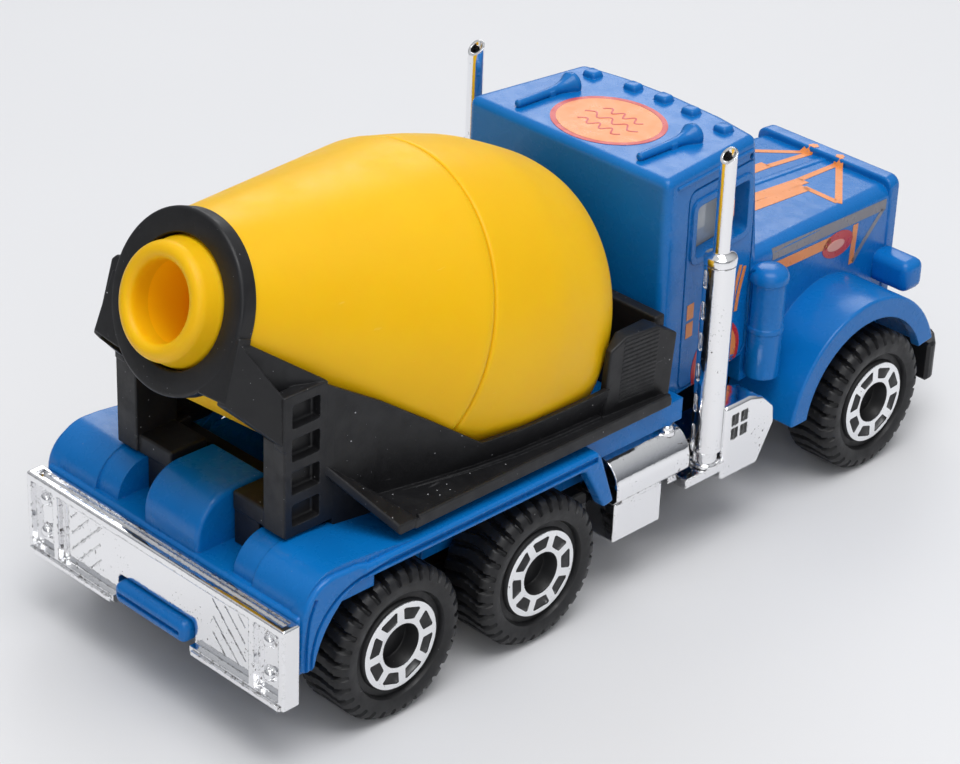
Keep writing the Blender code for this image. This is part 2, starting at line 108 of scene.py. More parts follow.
def from_bmesh(name, bm):
    mesh = bpy.data.meshes.new(name)
    bm.to_mesh(mesh)
    bm.free()
    obj = bpy.data.objects.new(name, mesh)
    scratch.objects.link(obj)
    return obj


def solid(name, rings, capped=True, closed=False):
    """Mesh whose rings of world points are each joined to the next; a ring may be a single point."""
    bm = bmesh.new()
    rings = [[bm.verts.new(point) for point in ring] for ring in rings]
    steps = max(len(ring) for ring in rings)
    for ring, following in zip(rings, rings[1:] + (rings[:1] if closed else [])):
        for i in range(steps):
            j = (i + 1) % steps
            corners = [ring[i % len(ring)], ring[j % len(ring)], following[j % len(following)],
                following[i % len(following)]]
            unique = list(dict.fromkeys(corners))
            if len(unique) > 2:
                bm.faces.new(unique)
    if capped:
        bm.faces.new(rings[0])
        bm.faces.new(rings[-1])
    bmesh.ops.recalc_face_normals(bm, faces=bm.faces)
    return from_bmesh(name, bm)


def loft(name, sections):
    """Closed solid through sections that have the same number of corners."""
    return solid(name, [[at(*corner) for corner in section] for section in sections])


def block(name, x, d, z):
    return loft(name, [[(x[0], d[0], h), (x[1], d[0], h), (x[1], d[1], h), (x[0], d[1], h)] for h in z])


def side_prism(name, outline, x):
    """Side view outline of (d, z) corners carried between two x."""
    return loft(name, [[(side, d, z) for d, z in outline] for side in x])


def plan_prism(name, outline, z):
    """Plan view outline of (x, d) corners carried between two heights."""
    return loft(name, [[(x, d, height) for x, d in outline] for height in z])


def on_surface(name, outline, surface, low, high):
    """Outline carried between two offsets of surface(u, v, offset)."""
    return loft(name, [[surface(u, v, offset) for u, v in outline] for offset in (low, high)])


def inset(outline, width):
    """Outline moved inwards by width, with mitred corners."""
    area = sum(a[0] * b[1] - b[0] * a[1] for a, b in zip(outline, outline[1:] + outline[:1]))
    way = 1 if area > 0 else -1
    moved = []
    for i, point in enumerate(outline):
        before, after = Vector(outline[i - 1]), Vector(outline[(i + 1) % len(outline)])
        here = Vector(point)
        arriving, leaving = (here - before).normalized(), (after - here).normalized()
        n1 = Vector((-arriving.y, arriving.x)) * way
        n2 = Vector((-leaving.y, leaving.x)) * way
        mitre = (n1 + n2) / max(1 + n1.dot(n2), 0.3)
        moved.append(tuple(here + mitre * width))
    return moved


def hoop(name, outline, width, surface, low, high):
    """Band of a width inside an outline, between two offsets of a surface."""
    inner = inset(outline, width)
    loops = [[at(*surface(u, v, offset)) for u, v in line] for line,
        offset in ((outline, low), (outline, high), (inner, high), (inner, low))]
    return solid(name, loops, capped=False, closed=True)


def turned(name, profile, steps, place, closed=False):
    """Profile of (radius, height) spun about its own Z axis, then placed."""
    rings = []
    for radius, height in profile:
        count = steps if radius > 1e-6 else 1
        rings.append([place @ (Vector((radius * cos(2 * pi * i / count), radius * sin(2 * pi * i / count),
            height)) * MM) for i in range(count)])
    return solid(name, rings, capped=False, closed=closed)


def bevelled(obj, width, segments=3, angle=32):
    bevel = obj.modifiers.new("edges", "BEVEL")
    bevel.width = width * MM
    bevel.segments = segments
    bevel.limit_method = "ANGLE"
    bevel.angle_limit = radians(angle)
    return obj


def soft_block(name, x, d, z, width, segments=3):
    return bevelled(block(name, x, d, z), width, segments)


def soft_loft(name, sections, *edges):
    return bevelled(loft(name, sections), *edges)


def soft_prism(name, outline, x, *edges):
    return bevelled(side_prism(name, outline, x), *edges)


def mirrored(obj):
    mirror = obj.modifiers.new("other_side", "MIRROR")
    mirror.use_axis[0] = True
    mirror.merge_threshold = 1e-7
    return obj


def combine(obj, operation, others, solver="MANIFOLD"):
    for other in others:
        step = obj.modifiers.new(other.name, "BOOLEAN")
        step.operation = operation
        step.solver = solver
        step.object = other
    return obj


def turn(angle, axis):
    return Matrix.Rotation(radians(angle), 4, axis)


def upright(x, d, z=0):
    return Matrix.Translation(at(x, d, z))


def across(x, d, z):
    """Axis along x, its height running to the truck's left."""
    return upright(x, d, z) @ turn(90, "Y")


def backwards(x, d, z):
    """Axis along the truck, its height running to the rear."""
    return upright(x, d, z) @ turn(-90, "X")


def along_drum():
    """Axis along the drum, its height running forwards and down towards the cab."""
    forward = Vector((0, -cos(DRUM_TILT), -sin(DRUM_TILT)))
    spin = Vector((0, 0, 1)).rotation_difference(forward).to_matrix().to_4x4()
    return upright(0, DRUM_D, DRUM_Z) @ spin


def drum_plane(x, up, s=0):
    """Truck measures of a point in the plane of the mixer ring, up being measured along that plane."""
    return (x, DRUM_D + up * sin(DRUM_TILT) + s * cos(DRUM_TILT), DRUM_Z
        + up * cos(DRUM_TILT) - s * sin(DRUM_TILT))


def arc(centre, radius, start, stop, count):
    """Points of an arc about centre, angles in degrees from the first axis towards the second."""
    points = []
    for i in range(count + 1):
        angle = radians(start + (stop - start) * i / count)
        points.append((centre[0] + radius * cos(angle), centre[1] + radius * sin(angle)))
    return points


def rounded(u, v, radius):
    """Rectangle between two u and two v with round corners."""
    corners = ((u[1] - radius, v[1] - radius, 0), (u[0] + radius, v[1] - radius, 90),
        (u[0] + radius, v[0] + radius, 180), (u[1] - radius, v[0] + radius, 270))
    return [p for cu, cv, start in corners for p in arc((cu, cv), radius, start, start + 90, 4)]


def strip(path, width):
    """Outline of a band of a width along a path."""
    left, right = [], []
    for i, point in enumerate(path):
        along = (Vector(path[min(i + 1, len(path) - 1)]) - Vector(path[max(i - 1, 0)])).normalized()
        side = Vector((-along.y, along.x)) * width / 2
        left.append(tuple(Vector(point) + side))
        right.append(tuple(Vector(point) - side))
    return left + right[::-1]


def flowing(points, steps=4):
    """Smooth curve through the points."""
    curve = []
    padded = [points[0]] + list(points) + [points[-1]]
    for a, b, c, e in zip(padded, padded[1:], padded[2:], padded[3:]):
        for i in range(steps):
            t = i / steps
            curve.append(tuple(0.5 * (2 * q + (r - p) * t + (2 * p - 5 * q + 4 * r - w) * t * t
                + (3 * q - p - 3 * r + w) * t ** 3) for p, q, r, w in zip(a, b, c, e)))
    return curve + [tuple(points[-1])]


def show(name, mesh):
    """New shown object made of a mesh."""
    made = bpy.data.objects.new(name, mesh)
    bpy.context.scene.collection.objects.link(made)
    return made


def dress(mesh, look):
    mesh.materials.clear()
    mesh.materials.append(look.material)


def shown_mesh(obj):
    graph = bpy.context.evaluated_depsgraph_get()
    return bpy.data.meshes.new_from_object(obj.evaluated_get(graph))


def smooth_by_angle(mesh, angle):
    bm = bmesh.new()
    bm.from_mesh(mesh)
    for face in bm.faces:
        face.smooth = True
    for edge in bm.edges:
        edge.smooth = edge.calc_face_angle(0) < radians(angle)
    bm.to_mesh(mesh)
    bm.free()


def piece(obj, look, body, nodes=(), angle=36):
    """Turn a shaped object into a shown piece that moves with a body and stands for CAD nodes."""
    name, mesh = obj.name, shown_mesh(obj)
    bpy.data.objects.remove(obj)
    smooth_by_angle(mesh, angle)
    dress(mesh, look)
    made = show(name, mesh)
    made.modifiers.new("normals", "WEIGHTED_NORMAL").keep_sharp = True
    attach(made, body)
    if nodes:
        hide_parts(*nodes)
    return made


def clear_scratch():
    for obj in list(scratch.objects):
        bpy.data.objects.remove(obj)


# ---------------- materials
class Look:
    """Node tree of one material, with short calls for the nodes that the looks share."""

    def __init__(self, name, colour, roughness, metallic=0, **sockets):
        self.material = bpy.data.materials.new(name)
        self.material.use_nodes = True
        self.tree = self.material.node_tree
        self.colour = (*colour, 1)
        self.shader = self.fill(self.tree.nodes["Principled BSDF"], Base_Color=self.colour,
            Roughness=roughness, Metallic=metallic, **sockets)
        self.place = self.add("TexCoord").outputs["Object"]
        self.normal = None

    def fill(self, node, **sockets):
        """Give inputs of a node a value each, or link them to the output given."""
        for name, value in sockets.items():
            socket = node.inputs[name.replace("_", " ")]
            if isinstance(value, bpy.types.NodeSocket):
                self.tree.links.new(value, socket)
            else:
                socket.default_value = value
        return node

    def add(self, kind, **sockets):
        return self.fill(self.tree.nodes.new("ShaderNode" + kind), **sockets)

    def noise(self, size, detail=3, roughness=0.55, stretch=None):
        """Noise whose blobs are about size millimetres across."""
        place = self.place
        if stretch:
            place = self.add("Mapping", Vector=place, Scale=stretch).outputs["Vector"]
        return self.add("TexNoise", Vector=place, Scale=1 / (size * MM), Detail=detail,
            Roughness=roughness).outputs["Fac"]

    def ramp(self, source, low, high):
        """Value that goes from low's to high's between their places."""
        node = self.add("MapRange", Value=source, From_Min=low[0], To_Min=low[1], From_Max=high[0],
            To_Max=high[1])
        return node.outputs["Result"]

    def stepped(self, size, detail, low, high, *grain):
        """Noise of a size carried from low to high."""
        return self.ramp(self.noise(size, detail, *grain), low, high)

    def merge(self, a, b, operation="MULTIPLY"):
        node = self.add("Math")
        node.operation = operation
        self.tree.links.new(a, node.inputs[0])
        self.tree.links.new(b, node.inputs[1])
        return node.outputs["Value"]

    def rounding(self, radius):
        """Normal as if sharp lines had a fillet of a radius in millimetres."""
        bevel = self.add("Bevel", Radius=radius * MM)
        bevel.samples = 4
        return bevel.outputs["Normal"]

    def edges(self, radius):
        """One on edges rounder than a radius in millimetres, zero on flat faces."""
        dot = self.add("VectorMath")
        dot.operation = "DOT_PRODUCT"
        self.tree.links.new(self.rounding(radius), dot.inputs[0])
        self.tree.links.new(self.add("NewGeometry").outputs["Normal"], dot.inputs[1])
        return self.ramp(dot.outputs["Value"], (0.99, 0), (0.9, 1))

    def tint(self, mask, colour):
        """Lay a colour over the present one where the mask says."""
        node = self.tree.nodes.new("ShaderNodeMix")
        node.data_type = "RGBA"
        self.fill(node, Factor=mask)
        below, above = node.inputs[6], node.inputs[7]
        if isinstance(self.colour, tuple):
            below.default_value = self.colour
        else:
            self.tree.links.new(self.colour, below)
        above.default_value = (*colour, 1)
        self.colour = node.outputs[2]
        self.fill(self.shader, Base_Color=self.colour)

    def patches(self, size, detail, low, high, colour, *grain):
        """Lay a colour where noise of a size runs from low to high."""
        self.tint(self.stepped(size, detail, low, high, *grain), colour)

    def specks(self, pitch, radius, share, colour):
        """Round specks on a lattice of a pitch, of which only a share is there."""
        node = self.add("TexVoronoi", Vector=self.place, Scale=1 / (pitch * MM))
        near = self.ramp(node.outputs["Distance"], (radius * 0.7 / pitch, 1), (radius / pitch, 0))
        parts = self.add("SeparateColor", Color=node.outputs["Color"])
        there = self.ramp(parts.outputs["Red"], (share, 1), (share + 0.01, 0))
        self.tint(self.merge(near, there), colour)

    def polish(self, size, detail, low, high, *grain):
        """Let the roughness follow noise of a size between two values."""
        self.fill(self.shader, Roughness=self.stepped(size, detail, (0.3, low), (0.7, high), *grain))

    def relief(self, size, detail, height):
        """Bumps of a size and a height in millimetres."""
        node = self.add("Bump", Height=self.noise(size, detail), Strength=1, Distance=height * MM)
        if self.normal:
            self.fill(node, Normal=self.normal)
        self.shade(node.outputs["Normal"])

    def shade(self, normal):
        self.normal = normal
        self.fill(self.shader, Normal=normal)


BLUE = Look("blue_enamel", (0.002, 0.158, 0.5), 0.22, Specular_IOR_Level=0.3, Coat_Weight=0.08,
    Coat_Roughness=0.1)
BLUE.shade(BLUE.rounding(0.16))
BLUE.patches(6, 2, (0.35, 0), (0.7, 0.45), (0.002, 0.122, 0.4))
BLUE.tint(BLUE.merge(BLUE.edges(0.3), BLUE.stepped(0.5, 5, (0.62, 0), (0.66, 1))), (0.05, 0.2, 0.62))
BLUE.specks(0.9, 0.035, 0.1, (0.3, 0.42, 0.62))
BLUE.polish(1.6, 4, 0.19, 0.35)
BLUE.relief(0.9, 2, 0.012)
BLUE.relief(0.16, 2, 0.0015)

BLACK = Look("black_plastic", (0.0085, 0.0085, 0.0095), 0.46, Specular_IOR_Level=0.38)
BLACK.shade(BLACK.rounding(0.1))
BLACK.patches(3, 4, (0.4, 0), (0.75, 0.6), (0.015, 0.015, 0.017))
BLACK.tint(BLACK.merge(BLACK.edges(0.22), BLACK.stepped(0.4, 4, (0.45, 0), (0.62, 0.6))),
    (0.045, 0.045, 0.048))
BLACK.specks(0.75, 0.065, 0.3, (0.42, 0.42, 0.44))
BLACK.specks(0.37, 0.03, 0.16, (0.3, 0.3, 0.32))
BLACK.patches(0.8, 6, (0.68, 0), (0.74, 0.35), (0.14, 0.14, 0.145), 0.6, (1, 0.22, 1))
BLACK.polish(1.1, 4, 0.34, 0.55)
BLACK.relief(0.35, 3, 0.01)

CHROME = Look("chromed_plastic", (0.92, 0.92, 0.93), 0.1, 1)
CHROME.shade(CHROME.rounding(0.1))
worn = CHROME.merge(CHROME.edges(0.22), CHROME.stepped(0.42, 5, (0.54, 0), (0.57, 1), 0.65))
flecks = CHROME.merge(CHROME.stepped(0.3, 5, (0.63, 0), (0.65, 1), 0.7),
    CHROME.stepped(3.2, 2, (0.52, 0), (0.56, 1)))
bare = CHROME.merge(worn, flecks, "MAXIMUM")
CHROME.tint(bare, (0.045, 0.036, 0.028))
CHROME.fill(CHROME.shader, Metallic=CHROME.ramp(bare, (0, 1), (1, 0.2)))
CHROME.polish(1.3, 5, 0.05, 0.15)
CHROME.relief(0.8, 3, 0.016)


def yellow_plastic(name="yellow_plastic", glow=0):
    """Satin yellow plastic; glow is painted light, an emission standing in for the light that comes through
    the thin wall.
    """
    look = Look(name, (0.86, 0.5, 0.004), 0.4, Specular_IOR_Level=0.24, Emission_Color=(0.62, 0.26, 0, 1),
        Emission_Strength=glow, Subsurface_Weight=0.35, Subsurface_Radius=(1, 0.5, 0.1),
        Subsurface_Scale=0.0008)
    look.patches(7, 3, (0.35, 0), (0.75, 0.35), (0.8, 0.42, 0.003))
    look.specks(1.9, 0.05, 0.05, (0.16, 0.1, 0.03))
    look.patches(0.7, 4, (0.7, 0), (0.74, 0.3), (0.92, 0.62, 0.12), 0.6, (1, 0.08, 1))
    look.polish(2.2, 4, 0.34, 0.5)
    look.relief(0.5, 3, 0.006)
    return look


TYRE = Look("tyre_plastic", (0.0085, 0.0085, 0.0092), 0.46, Specular_IOR_Level=0.4)
TYRE.patches(1.5, 4, (0.4, 0), (0.7, 0.7), (0.016, 0.016, 0.018))
TYRE.specks(0.7, 0.035, 0.12, (0.3, 0.3, 0.31))
TYRE.polish(0.8, 4, 0.36, 0.58)
TYRE.relief(0.25, 3, 0.008)

FOIL = Look("silver_foil", (0.92, 0.93, 0.94), 0.16, 1)
FOIL.patches(0.42, 5, (0.655, 0), (0.675, 1), (0.02, 0.02, 0.022), 0.7)
FOIL.polish(0.6, 4, 0.1, 0.24)
FOIL.relief(0.9, 3, 0.05)

CLEAR = Look("tinted_clear", (0.44, 0.47, 0.5), 0.08, Alpha=0.93, Coat_Weight=0.5)
CLEAR.patches(3, 3, (0.4, 0), (0.7, 0.5), (0.52, 0.55, 0.57))
CLEAR.polish(1.2, 3, 0.06, 0.16)

STEEL = Look("axle_steel", (0.56, 0.56, 0.57), 0.3, 1)
STEEL.patches(0.6, 4, (0.5, 0), (0.7, 0.5), (0.34, 0.33, 0.32))
STEEL.polish(0.3, 4, 0.22, 0.45, 0.6, (0.1, 1, 1))


def print_ink(name, colour, worn=0.66):
    """Thin print, through which the enamel shows where it's worn."""
    look = Look(name, colour, 0.32)
    look.patches(2.5, 3, (0.4, 0), (0.7, 0.3), tuple(0.82 * c for c in colour))
    look.patches(0.35, 6, (worn, 0), (worn + 0.04, 1), (0.02, 0.1, 0.42), 0.7)
    look.polish(0.9, 3, 0.24, 0.4)
    return look


YELLOW = yellow_plastic()
# inside of the drum: the same yellow plastic with a painted glow, an emission standing in for light through
# the wall
YELLOW_PAINTED_GLOW = yellow_plastic("yellow_plastic_inside_painted_glow", 0.16)
ORANGE = print_ink("orange_print", (0.8, 0.26, 0.06))
RED = print_ink("red_print", (0.55, 0.03, 0.03))
PALE = print_ink("pale_print", (0.2, 0.19, 0.21), 0.64)
PINK = print_ink("pink_print", (0.78, 0.34, 0.26))


# ---------------- die-cast body
def cab_section(z, inset_by, rear, front, side_rear, side_front):
    return [(side_rear - inset_by, rear, z), (side_front - inset_by, front - 1, z), (5, front - 0.25, z),
        (0, front, z), (-5, front - 0.25, z), (-side_front + inset_by, front - 1, z),
        (-side_rear + inset_by, rear, z)]


def cab_side(d, z, offset):
    """Point on the cab's left wall, moved outwards by an offset."""
    lean = (z - 22) / 10
    side_rear = 10.85 - 0.1 * lean
    front = 54.7 - (1.2 if lean > 0 else 0.5) * lean
    return side_rear + (9.35 - side_rear) * (d - CAB_REAR_D) / (front - CAB_REAR_D) + offset, d, z


def hood_section(d, half, top, low, round_off):
    side = [(half, d, low)] + [(half - round_off + x, d, top - round_off + z) for x,
        z in arc((0, 0), round_off, 0, 90, 5)]
    return side + [(-x, d, z) for x, d, z in reversed(side)]


LEDGE_Z = 12.25         # low ledge between the humps, just above the rear panel


def hump(name, centre_z, radius, x, front):
    outline = [(5.2 - radius, LEDGE_Z - 0.3)] + arc((5.2, centre_z), radius, 180, 90, 14) + front + [(8.9,
        LEDGE_Z - 0.3)]
    return soft_prism(name, outline, x, 0.42, 4, 50)


def body_shape():
    cab = soft_loft("cab_and_deck", [cab_section(CAB_FLOOR_Z, 0, CAB_REAR_D, 56.2, 10.95, 9.35),
        cab_section(22, 0, CAB_REAR_D, 55.7, 10.85, 9.35),
        cab_section(ROOF_Z, 0, CAB_REAR_D, 54.5, 10.75, 9.35)], 0.75, 5)
    deck = soft_block("deck", (-DECK_HALF, DECK_HALF), (7.4, 31.6), (13.05, DECK_Z), 0.28)
    deck_front = block("deck_front", (-12.9, 12.9), (30.4, 42.6), (12.3, DECK_Z - 0.02))
    rear_wall = soft_block("rear_wall", (-14.1, 14.1), (1.65, 3), (7.4, LEDGE_Z), 0.3)
    ledge = soft_block("ledge", (-13.9, 13.9), (2.2, 8), (LEDGE_Z - 0.35, LEDGE_Z - 0.03), 0.05, 2)
    slot_end = block("slot_end", (-13.9, 13.9), (7.5, 8.5), (LEDGE_Z - 0.3, 13.3))
    skirt = mirrored(soft_prism("rear_skirt", [(1.77, 7.95), (2, 7.6), (2.8, 7.55), (3.1, 7.8), (3.3, 8.6),
        (3.65, 9.5), (4.1, 10.35), (4.75, 11.25), (5.6, 12.15), (6.8, 12.95), (8.6, 13.3), (8.6, 14.1),
        (7.2, 14.5)] + arc((4.9, 11.6), 3, 90, 178, 10), (12.9, 14.45), 0.3, 4, 50))
    flap = mirrored(soft_prism("fender_flap", [(30.2, 13), (32.4, 9), (33.5, 9.2), (31.9, 13.6),
        (31.5, 14.15), (29.6, 14.15), (29.6, 13)], (13.3, 14.48), 0.25, 3))
    humps = [hump("hump_middle", 13.1, 3.3, (-3.05, 3.05), [(8.3, 16.4), (8.9, 15.9)]),
        mirrored(hump("hump_inner", 12, 2.9, (6.5, 9.2), [(8.9, 14.5)])), mirrored(hump("hump_outer", 11.85,
        3.15, (8.8, 14.05), [(6.6, 14.95), (12.6, 14.25), (12.6, 13.6), (8.9, 13.4)]))]
    tab = soft_block("tail_tab", (-4, 4), (-TAB_PROUD, 2.6), (5.75, 7.55), 0.62, 5)
    hood = loft("hood", [hood_section(53.5, 9.5, 21.5, 10.2, 1.2), hood_section(75, 7.25, 20.35, 10.2, 1.2)])
    ridge = soft_loft("hood_ridge", [[(0.55, d, top - 0.5), (0.32, d, top + 0.12), (-0.32, d, top + 0.12),
        (-0.55, d, top - 0.5)] for d, top in ((54.2, 21.46), (74.6, 20.37))], 0.1, 2)
    surround = soft_loft("radiator_surround",
        [hood_section(74.3, 7.45, 21, 10, 0.9), hood_section(75.7, 7.3, 21, 10, 0.9)], 0.25, 3)
    fender = mirrored(soft_prism("front_fender", arc((ARCH_D, ARCH_Z), 9.4, 18, 174, 32)
        + [(57.2, 7), (73.2, 8.9)], (6.8, 14), 1.75, 6, 40))
    pod = mirrored(soft_block("headlight_pod", (6.9, 11.2), (72.6, 75.2), (12.1, 14.9), 0.8, 4))
    cleaners, horns, lamps = [], [], []
    for side, label in SIDES:
        cleaners.append(turned("air_cleaner_" + label, [(0, 20.7), (0.7, 20.66), (1.15, 20.52), (1.45, 20.28),
            (1.6, 19.98), (1.65, 19.65), (1.62, 19.45), (1.5, 19.36), (1.45, 19.2), (1.45, 15.5),
            (1.53, 15.42), (1.53, 15.05), (1.45, 14.97), (1.45, 11), (0, 11)], 40,
            upright(side * 10.6, 54.9)))
        horns.append(turned("horn_" + label, [(0, 6.15), (0.55, 6.2), (0.86, 6.5), (0.95, 6.5), (1, 6.1),
            (0.72, 5.6), (0.55, 5.2), (0.42, 4.6), (0.36, 3.6), (0.33, 1), (0.32, 0.25), (0.2, 0.1),
            (0, 0.1)], 28, upright(side * 6.5, 42.7, 32.3) @ turn(90, "X")))
        horns.append(soft_block("horn_foot_" + label, (side * 6.5 - 0.45, side * 6.5 + 0.45), (46.2, 46.9),
            (31.8, 32.5), 0.1, 2))
    for i, (x, d) in enumerate(((-7, 52), (-3.1, 52.6), (0, 52.8), (3.1, 52.6), (7, 52))):
        lamps.append(soft_loft("roof_lamp_%d" % (i + 1), [[(x - w, d - 0.55, z), (x + w, d - 0.55, z),
            (x + w, front, z), (x - w, front, z)] for w, front,
            z in ((0.75, d + 0.78, 31.6), (0.62, d + 0.6, 32.48))], 0.25, 3))
    posts = [turned("rivet_post_" + end, [(0, top), (1.2, top), (1.2, 4.35), (0, 4.35)], 32, upright(0, d))
        for end, top, d in (("rear", 13.6, 39.4), ("front", 20.4, 58))]
    window = rounded((45.6, 52.6), (24.2, 28.65), 0.6)
    window_frame = mirrored(hoop("window_frame", rounded((45.05, 53.15), (23.65, 29.2), 0.9), 0.58, cab_side,
        -0.4, 0.16))
    drip_rail = mirrored(bevelled(on_surface("drip_rail", strip([(42.9, 31.05), (53, 30.95)], 0.28), cab_side,
        -0.3, 0.14), 0.06, 2))

    combine(cab, "UNION", [deck, deck_front, rear_wall, ledge, slot_end, skirt])
    combine(cab, "UNION", [flap] + humps + [tab, hood, ridge, surround, fender, pod, window_frame, drip_rail]
        + cleaners + horns + lamps)

    cab_cavity = loft("cab_cavity", [cab_section(CAB_FLOOR_Z - 1, 1.1, CAB_REAR_D + 1.1, 55.2, 10.95, 9.35),
        cab_section(30.9, 1.1, CAB_REAR_D + 1.1, 53.4, 10.75, 9.35)])
    hood_cavity = loft("hood_cavity",
        [hood_section(54, 7.9, 19.9, 9, 0.8), hood_section(73.6, 6.2, 18.9, 9, 0.8)])
    grille_opening = soft_block("grille_opening", (-6.3, 6.3), (73, 76.2), (9, 19.9), 0.4)
    wheel_arch = mirrored(side_prism("wheel_arch", arc((ARCH_D, ARCH_Z), ARCH_R, 0, 360, 72)[:-1], (8.8, 15)))
    fender_hollow = mirrored(side_prism("fender_hollow", arc((ARCH_D, ARCH_Z), 8.2, 0, 180, 40), (8.9, 13.1)))
    well = [(8, 8.95), (8, 11.5), (10.3, 16.5), (10.9, 21), (10.9, 32.5), (8, 36.9)]
    drum_well = plan_prism("drum_well", well + [(-x, d) for x, d in reversed(well)], (12, 15.5))
    side_window = mirrored(on_surface("side_window", window, cab_side, -2, 1))
    screens = [soft_block("windscreen_" + label, x, (52.6, 57.5), (23.4, 29.9), 0.4) for label,
        x in (("left", (0.45, 8.1)), ("right", (-8.1, -0.45)))]
    tongue_slot = block("tongue_slot", (-7.5, 7.5), (1, 3.6), (10.85, 11.85))
    door_groove = mirrored(hoop("door_groove", rounded((44.5, 53.8), (12.9, 30.2), 0.9), 0.18, cab_side,
        -0.16, 0.6))
    mirror_hole = mirrored(turned("mirror_hole", [(0, 1), (0.26, 1), (0.26, -0.8), (0, -0.8)], 16,
        across(*cab_side(52.8, 30.45, 0))))
    channel = mirrored(side_prism("deck_channel",
        [(8.9, 13.68), (10, 13.9), (31.4, 13.9), (31.4, 13.42), (10, 13.42)], (14.22, 15)))
    flutes = [mirrored(side_prism("skirt_flute_%d" % i, strip(flowing(path, 5), 0.32), (14.2, 15))) for i,
        path in enumerate(([(2.62, 7), (2.72, 9), (3.35, 10.9), (4.7, 12.4), (6.6, 13.3), (9.6, 13.66)],
        [(2.15, 7), (2.18, 9.5), (2.45, 11.8), (3.1, 13.4)]))]
    tab_groove = soft_block("tab_groove", (-3.5, 3.5), (-0.6, 0.02), (6.5, 6.86), 0.15)
    combine(cab, "DIFFERENCE", [cab_cavity, hood_cavity, grille_opening, wheel_arch, fender_hollow, drum_well,
        side_window] + screens + [tongue_slot, door_groove, mirror_hole, channel] + flutes + [tab_groove])
    rails = [mirrored(soft_block("chassis_rail_" + end, x, d, (7.95, top), 0.12, 2)) for end, x, d,
        top in (("rear", (8.5, 9.3), (2.9, 18.2), 13.3), ("middle", (9, 9.5), (18, 36), 11.6),
        ("front", (8.5, 9.3), (35.8, 41.9), 13))]
    return combine(cab, "UNION", posts + rails)


cab_piece = piece(body_shape(), BLUE, "truck", ["body_casting"])
clear_scratch()

# clear insert: the CAD's own, with a fine dark divider in each side window
dress(frame["nodes"]["window_glazing"].data, CLEAR)
divider = mirrored(bevelled(on_surface("window_divider", strip([(50.35, 24), (50.75, 28.9)], 0.34), cab_side,
    -1.05, -0.35), 0.05, 2))
piece(divider, BLACK, "truck")


# ---------------- black base plate and axles: the CAD's own
def refine(node, look, width):
    """Give a CAD node its look, welding it and rounding its edges with modifiers only."""
    obj = frame["nodes"][node]
    dress(obj.data, look)
    obj.modifiers.new("weld", "WELD").merge_threshold = 1e-6
    bevelled(obj, width, 2, 40)


refine("base_plate", BLACK, 0.06)
for axle in AXLES:
    refine("axle_" + axle, STEEL, 0.03)


# ---------------- chromed rear panel
def panel_face(x, z, offset):
    """Point on the panel's rear face, moved to the rear by an offset."""
    return x, -offset, z


def panel_shape():
    low, high = 5.31, 12.08
    panel = soft_block("chrome_rear_panel", (-14.5, 14.5), (0, 1.6), (low, high), 0.2)
    cuts = [soft_block("panel_field_" + str(i), x, (-0.5, 0.55), (5.95, 11.5), 0.12, 2) for i,
        x in enumerate(((-13.95, -11.35), (-10.8, 10.8), (11.35, 13.95)))]
    cuts.append(soft_block("panel_notch", (-4.35, 4.35), (-1, 2), (4, 7.75), 0.45, 4))
    cuts.append(soft_block("panel_top_channel", (-13.9, 13.9), (0.42, 1.22), (11.72, 13), 0.12, 2))
    adds = [block("panel_tongue", (-7.3, 7.3), (1.2, 12.6), (11, 11.7))]
    adds += [turned("lamp_stud_%d" % i, [(0, 0.5), (0.14, 0.49), (0.27, 0.45), (0.38, 0.37), (0.46, 0.25),
        (0.5, 0.1), (0.52, 0), (0.62, -0.03), (0.66, -0.1), (0.66, -0.4), (0, -0.4)], 28,
        backwards(x, 0.47, z)) for i,
        (x, z) in enumerate(((12.6, 10.35), (12.6, 7.55), (-12.6, 10.35), (-12.6, 7.55)))]
    border = [(10.35, 6.5), (10.35, 11.05), (-10.35, 11.05), (-10.35, 6.5)]
    adds += [on_surface("panel_border_%d" % i, strip([a, b], 0.15), panel_face, -0.7, -0.46 + 0.004 * i)
        for i, (a, b) in enumerate(zip(border, border[1:]))]
    adds.append(mirrored(soft_block("panel_lip", (4.6, 14.2), (-0.18, 0.4), (low + 0.02, low + 0.42), 0.08,
        2)))
    # slanted hatching engraved at both ends of the field
    inner_x, outer_x, foot, head = 6.3, 9.9, 6.5, 10.7
    for i in range(5):
        top_x = inner_x - (head - foot) + 1.4 * (i + 1)
        reach = [t / 40 for t in range(41) if inner_x <= top_x + (head - foot) * t / 40 <= outer_x]
        ends = [(top_x + (head - foot) * t, head - (head - foot) * t) for t in (reach[0], reach[-1])]
        cuts.append(mirrored(on_surface("panel_hatch_%d" % i, strip(ends, 0.11), panel_face, -0.72, -0.4)))
    combine(panel, "DIFFERENCE", cuts)
    return combine(panel, "UNION", adds)


piece(panel_shape(), CHROME, "truck", ["rear_panel"])
clear_scratch()


